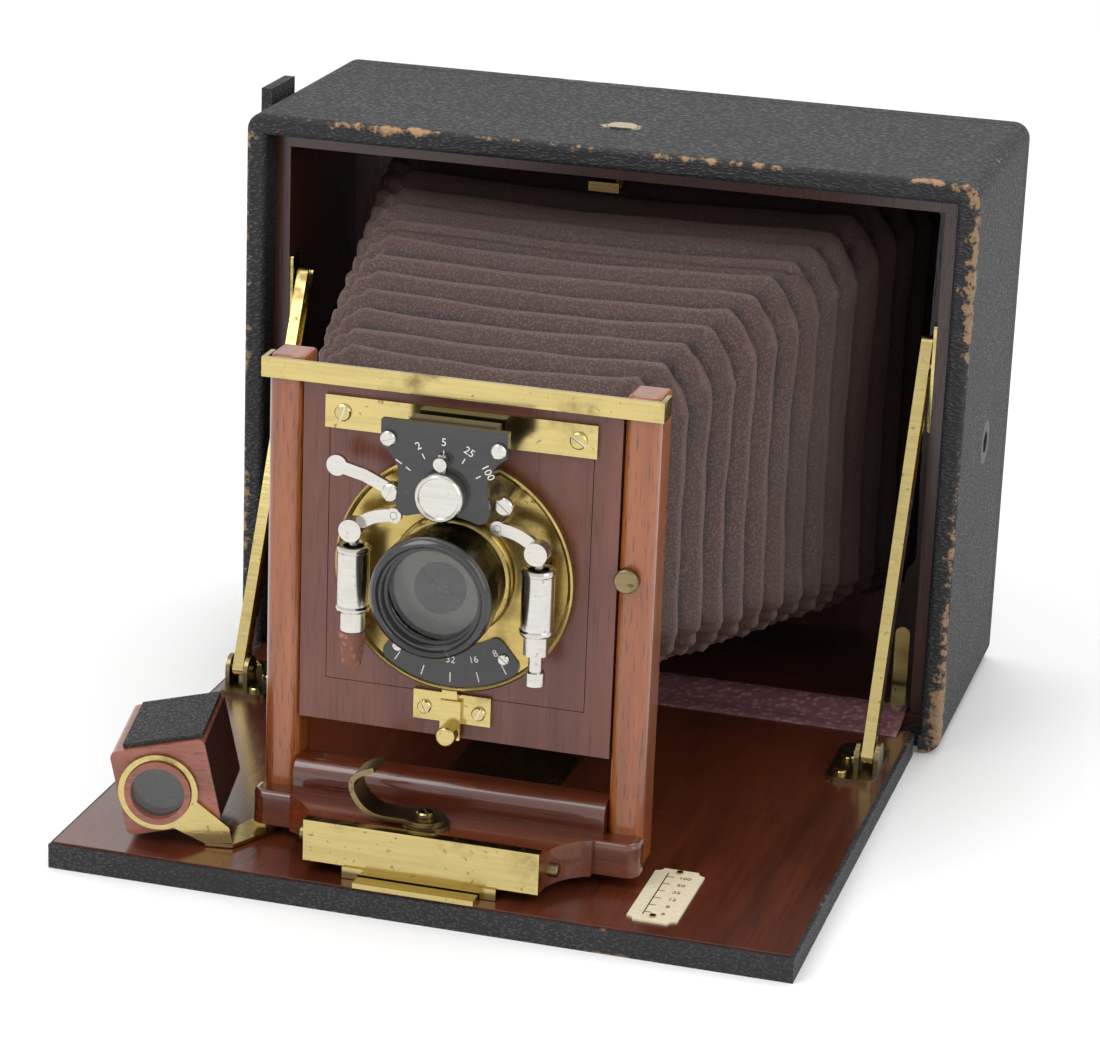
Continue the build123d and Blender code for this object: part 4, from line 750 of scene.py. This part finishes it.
# the glossy black bezel in front of the lens ring
bezel = [(0.01278, -0.15862), (0.0125, -0.1592), (0.0119, -0.15955), (0.0113, -0.1594), (0.0108, -0.1587),
         (0.01038, -0.1574), (0.0102, -0.1568), (0.0096, -0.1566),
         (0.0095, -0.1562), (0.01035, -0.1562), (0.01038, -0.15865)]
piece("lens_bezel", turned(bezel, (0, 0, LENS_Z), steps=96), enamel, "panel", 40)
# the rolled edge of the shutter's disc
rim = [(0.0243, -0.14228), (0.0246, -0.1429), (0.0251, -0.1431), (0.0255, -0.1428), (0.0256, -0.1420),
       (0.02535, -0.1402), (0.0251, -0.1402), (0.0251, -0.1422)]
piece("shutter_rim", turned(rim, (0, 0, LENS_Z), steps=96), disc_brass, "panel", 45)
# a raised collar where the barrel meets the disc
collar = [(0.0118, -0.1446), (0.0126, -0.1444), (0.0131, -0.1438), (0.0132, -0.1424), (0.0118, -0.1424)]
piece("barrel_collar", turned(collar, (0, 0, LENS_Z), steps=96), disc_brass, "panel", 40)
# the dark diaphragm behind the glass
iris = [(0.0052, -0.1500), (0.0103, -0.1494), (0.0103, -0.1488), (0.0052, -0.1494)]
piece("iris_leaves", turned(iris, (0, 0, LENS_Z), steps=48), blackened, "panel", 30)
# turned face of the speed knob: a raised rim and a centre boss
knob_face = [(0.0041, -0.15444), (0.0043, -0.1549), (0.0047, -0.1550), (0.0050, -0.1547),
             (0.00515, -0.1543), (0.00515, -0.1538), (0.0041, -0.1538)]
piece("speed_knob_rim", turned(knob_face, (0, 0, 0.0886), steps=64), nickel, "speed", 40)
print("turned pieces made")

# collars that round off the ends of the two air cylinders
for side, x in (("left", -0.0197), ("right", 0.0197)):
    for end, z, way in (("top", 0.0742, 1), ("foot", 0.0605, -1)):
        lip = [(0.0022, z), (0.0029, z + 0.00034 * way), (0.0034, z + 0.0002 * way), (0.00362, z - 0.0003 * way),
               (0.00362, z - 0.0008 * way), (0.00345, z - 0.0011 * way), (0.0022, z - 0.0011 * way)]
        piece(f"cylinder_{side}_{end}", turned(lip, (x, -0.1483, 0), "z", 48), nickel, "panel", 40)

# %% [markdown]
# ## Slotted screws
#
# Every screw here has a plain slot, and no two slots line up. A head is a low cone cut by
# two planes, which leaves two halves with the slot between them; the heads of each group
# are one mesh.

# %% A slotted head, and every screw
FRONT = Matrix.Rotation(math.pi / 2, 4, "X")
TOP = Matrix.Identity(4)
LEFT, RIGHT = Matrix.Rotation(-math.pi / 2, 4, "Y"), Matrix.Rotation(math.pi / 2, 4, "Y")


def slotted_head(mesh, place, facing_way, radius, turn, rise=0.00026):
    """Adds the two halves of a slotted head to a mesh, their foot at the place."""
    for side in (1, -1):
        half = bmesh.new()
        bmesh.ops.create_cone(half, cap_ends=True, segments=28, radius1=radius, radius2=radius * 0.84, depth=rise)
        cut = bmesh.ops.bisect_plane(half, geom=half.verts[:] + half.edges[:] + half.faces[:], dist=1e-8,
                                     plane_co=(side * radius * 0.13, 0, 0), plane_no=(side, 0, 0), clear_inner=True)
        bmesh.ops.holes_fill(half, edges=[e for e in cut["geom_cut"] if isinstance(e, bmesh.types.BMEdge)])
        bmesh.ops.recalc_face_normals(half, faces=half.faces)
        lift = Matrix.Translation((0, 0, rise / 2))
        where = Matrix.Translation(place) @ facing_way @ Matrix.Rotation(turn, 4, "Z") @ lift
        bmesh.ops.transform(half, matrix=where, verts=half.verts)
        ready = bpy.data.meshes.new("half")
        half.to_mesh(ready)
        half.free()
        mesh.from_mesh(ready)
        bpy.data.meshes.remove(ready)


def screws(name, spots, facing_way, made, body):
    """One object with a slotted head at every spot: x, y, z and radius in millimetres."""
    mesh = bmesh.new()
    for x, y, z, radius in spots:
        slotted_head(mesh, (x * MM, y * MM, z * MM), facing_way, radius * MM, random.uniform(0, math.pi))
    return piece(name, mesh, made, body, 30)


front_spots = [(-25, -141.4, 99.9, 1.8), (25, -141.4, 99.9, 1.8), (-5.9, -141.4, 38.2, 1.5), (5.9, -141.4, 38.2, 1.5)]
screws("plate_screw_heads", front_spots, FRONT, bright_brass, "panel")
dial_spots = [(-11.6, -152.5, 99.2, 1.6), (11.6, -152.5, 99.2, 1.6),
              (-12, -148.85, 86.6, 1.9), (12, -148.85, 86.6, 1.9),
              (-11.41, -143.2, 51.69, 1.2), (11.41, -143.2, 51.69, 1.2)]
screws("shutter_screw_heads", dial_spots, FRONT, nickel, "panel")
bed_spots = [(s * x, y, 7.4, 1.5) for s in (-1, 1) for x, y in ((69.5, -69.7), (69.5, -60.9), (74.5, -54.5))]
screws("bracket_screw_heads", bed_spots, TOP, bright_brass, "bed")
screws("lever_screw_head", [(-1.5, -152.5, 19.5, 1.9)], TOP, bright_brass, "standard")
screws("block_screw_right", [(27.8, -154.4, 11.8, 1.5)], RIGHT, dull_brass, "standard")
screws("block_screw_left", [(-27.8, -154.4, 11.8, 1.5)], LEFT, dull_brass, "standard")
print("screw heads made")

# %% [markdown]
# ## Numbers and marks
#
# The speed dial and the aperture scale carry plain numbers and ticks, filled with white.
# Each number is a font curve turned into a mesh, and all the marks on a plate are one
# object, a few hundredths of a millimetre proud of it.

# %% Marks made of numbers and bars
def add_text(mesh, words, size, where):
    """A number as a thin mesh, centred on its place."""
    curve = bpy.data.curves.new("number", "FONT")
    curve.body = words
    curve.size = size
    curve.align_x = "CENTER"
    curve.align_y = "CENTER"
    curve.extrude = 0.00002
    curve.resolution_u = 3
    holder = bpy.data.objects.new("number", curve)
    flat = bpy.data.meshes.new_from_object(holder)
    flat.transform(where)
    mesh.from_mesh(flat)
    bpy.data.meshes.remove(flat)
    bpy.data.objects.remove(holder)
    bpy.data.curves.remove(curve)


def add_bar(mesh, width, length, where):
    """A tick: a thin bar centred on its place."""
    made = bmesh.ops.create_cube(mesh, size=1.0)["verts"]
    bmesh.ops.transform(mesh, matrix=where @ Matrix.Diagonal((width, length, 0.00004, 1)), verts=made)


def on_front(x, y, z, turn=0.0):
    """A place on a plate that faces the front, in millimetres, with its mark turned."""
    return Matrix.Translation((x * MM, y * MM, z * MM)) @ FRONT @ Matrix.Rotation(turn, 4, "Z")


dial_marks = bmesh.new()
for words, degrees in zip(("1", "2", "5", "25", "100"), (-58, -29, 0, 29, 58)):
    a = math.radians(degrees)
    add_text(dial_marks, words, 0.0023, on_front(11.0 * math.sin(a), -151.73, 88.6 + 11.0 * math.cos(a), -a))
    add_bar(dial_marks, 0.00022, 0.0012, on_front(8.7 * math.sin(a), -151.73, 88.6 + 8.7 * math.cos(a), -a))
piece("dial_marks", dial_marks, white_paint, "panel", 30)

scale_marks = bmesh.new()
for words, degrees in zip(("256", "64", "32", "16", "8"), (-31, -15.5, 0, 15.5, 31)):
    a = math.radians(degrees)
    add_text(scale_marks, words, 0.0021, on_front(18.6 * math.sin(a), -142.83, 68.6 - 18.6 * math.cos(a), a))
    add_bar(scale_marks, 0.00022, 0.0022, on_front(22.4 * math.sin(a), -142.83, 68.6 - 22.4 * math.cos(a), a))
piece("aperture_marks", scale_marks, white_paint, "panel", 30)

card_marks = bmesh.new()
add_bar(card_marks, 0.00025, 0.0215, Matrix.Translation((0.0467, -0.1460, 0.00622)))
for step, words in enumerate(("6", "8", "12", "25", "50", "100")):
    y = -0.1555 + step * 0.0037
    add_bar(card_marks, 0.0016, 0.00022, Matrix.Translation((0.0475, y, 0.00622)))
    add_text(card_marks, words, 0.0018, Matrix.Translation((0.0507, y, 0.00622)))
piece("card_marks", card_marks, ink, "bed", 30)
print("marks made")
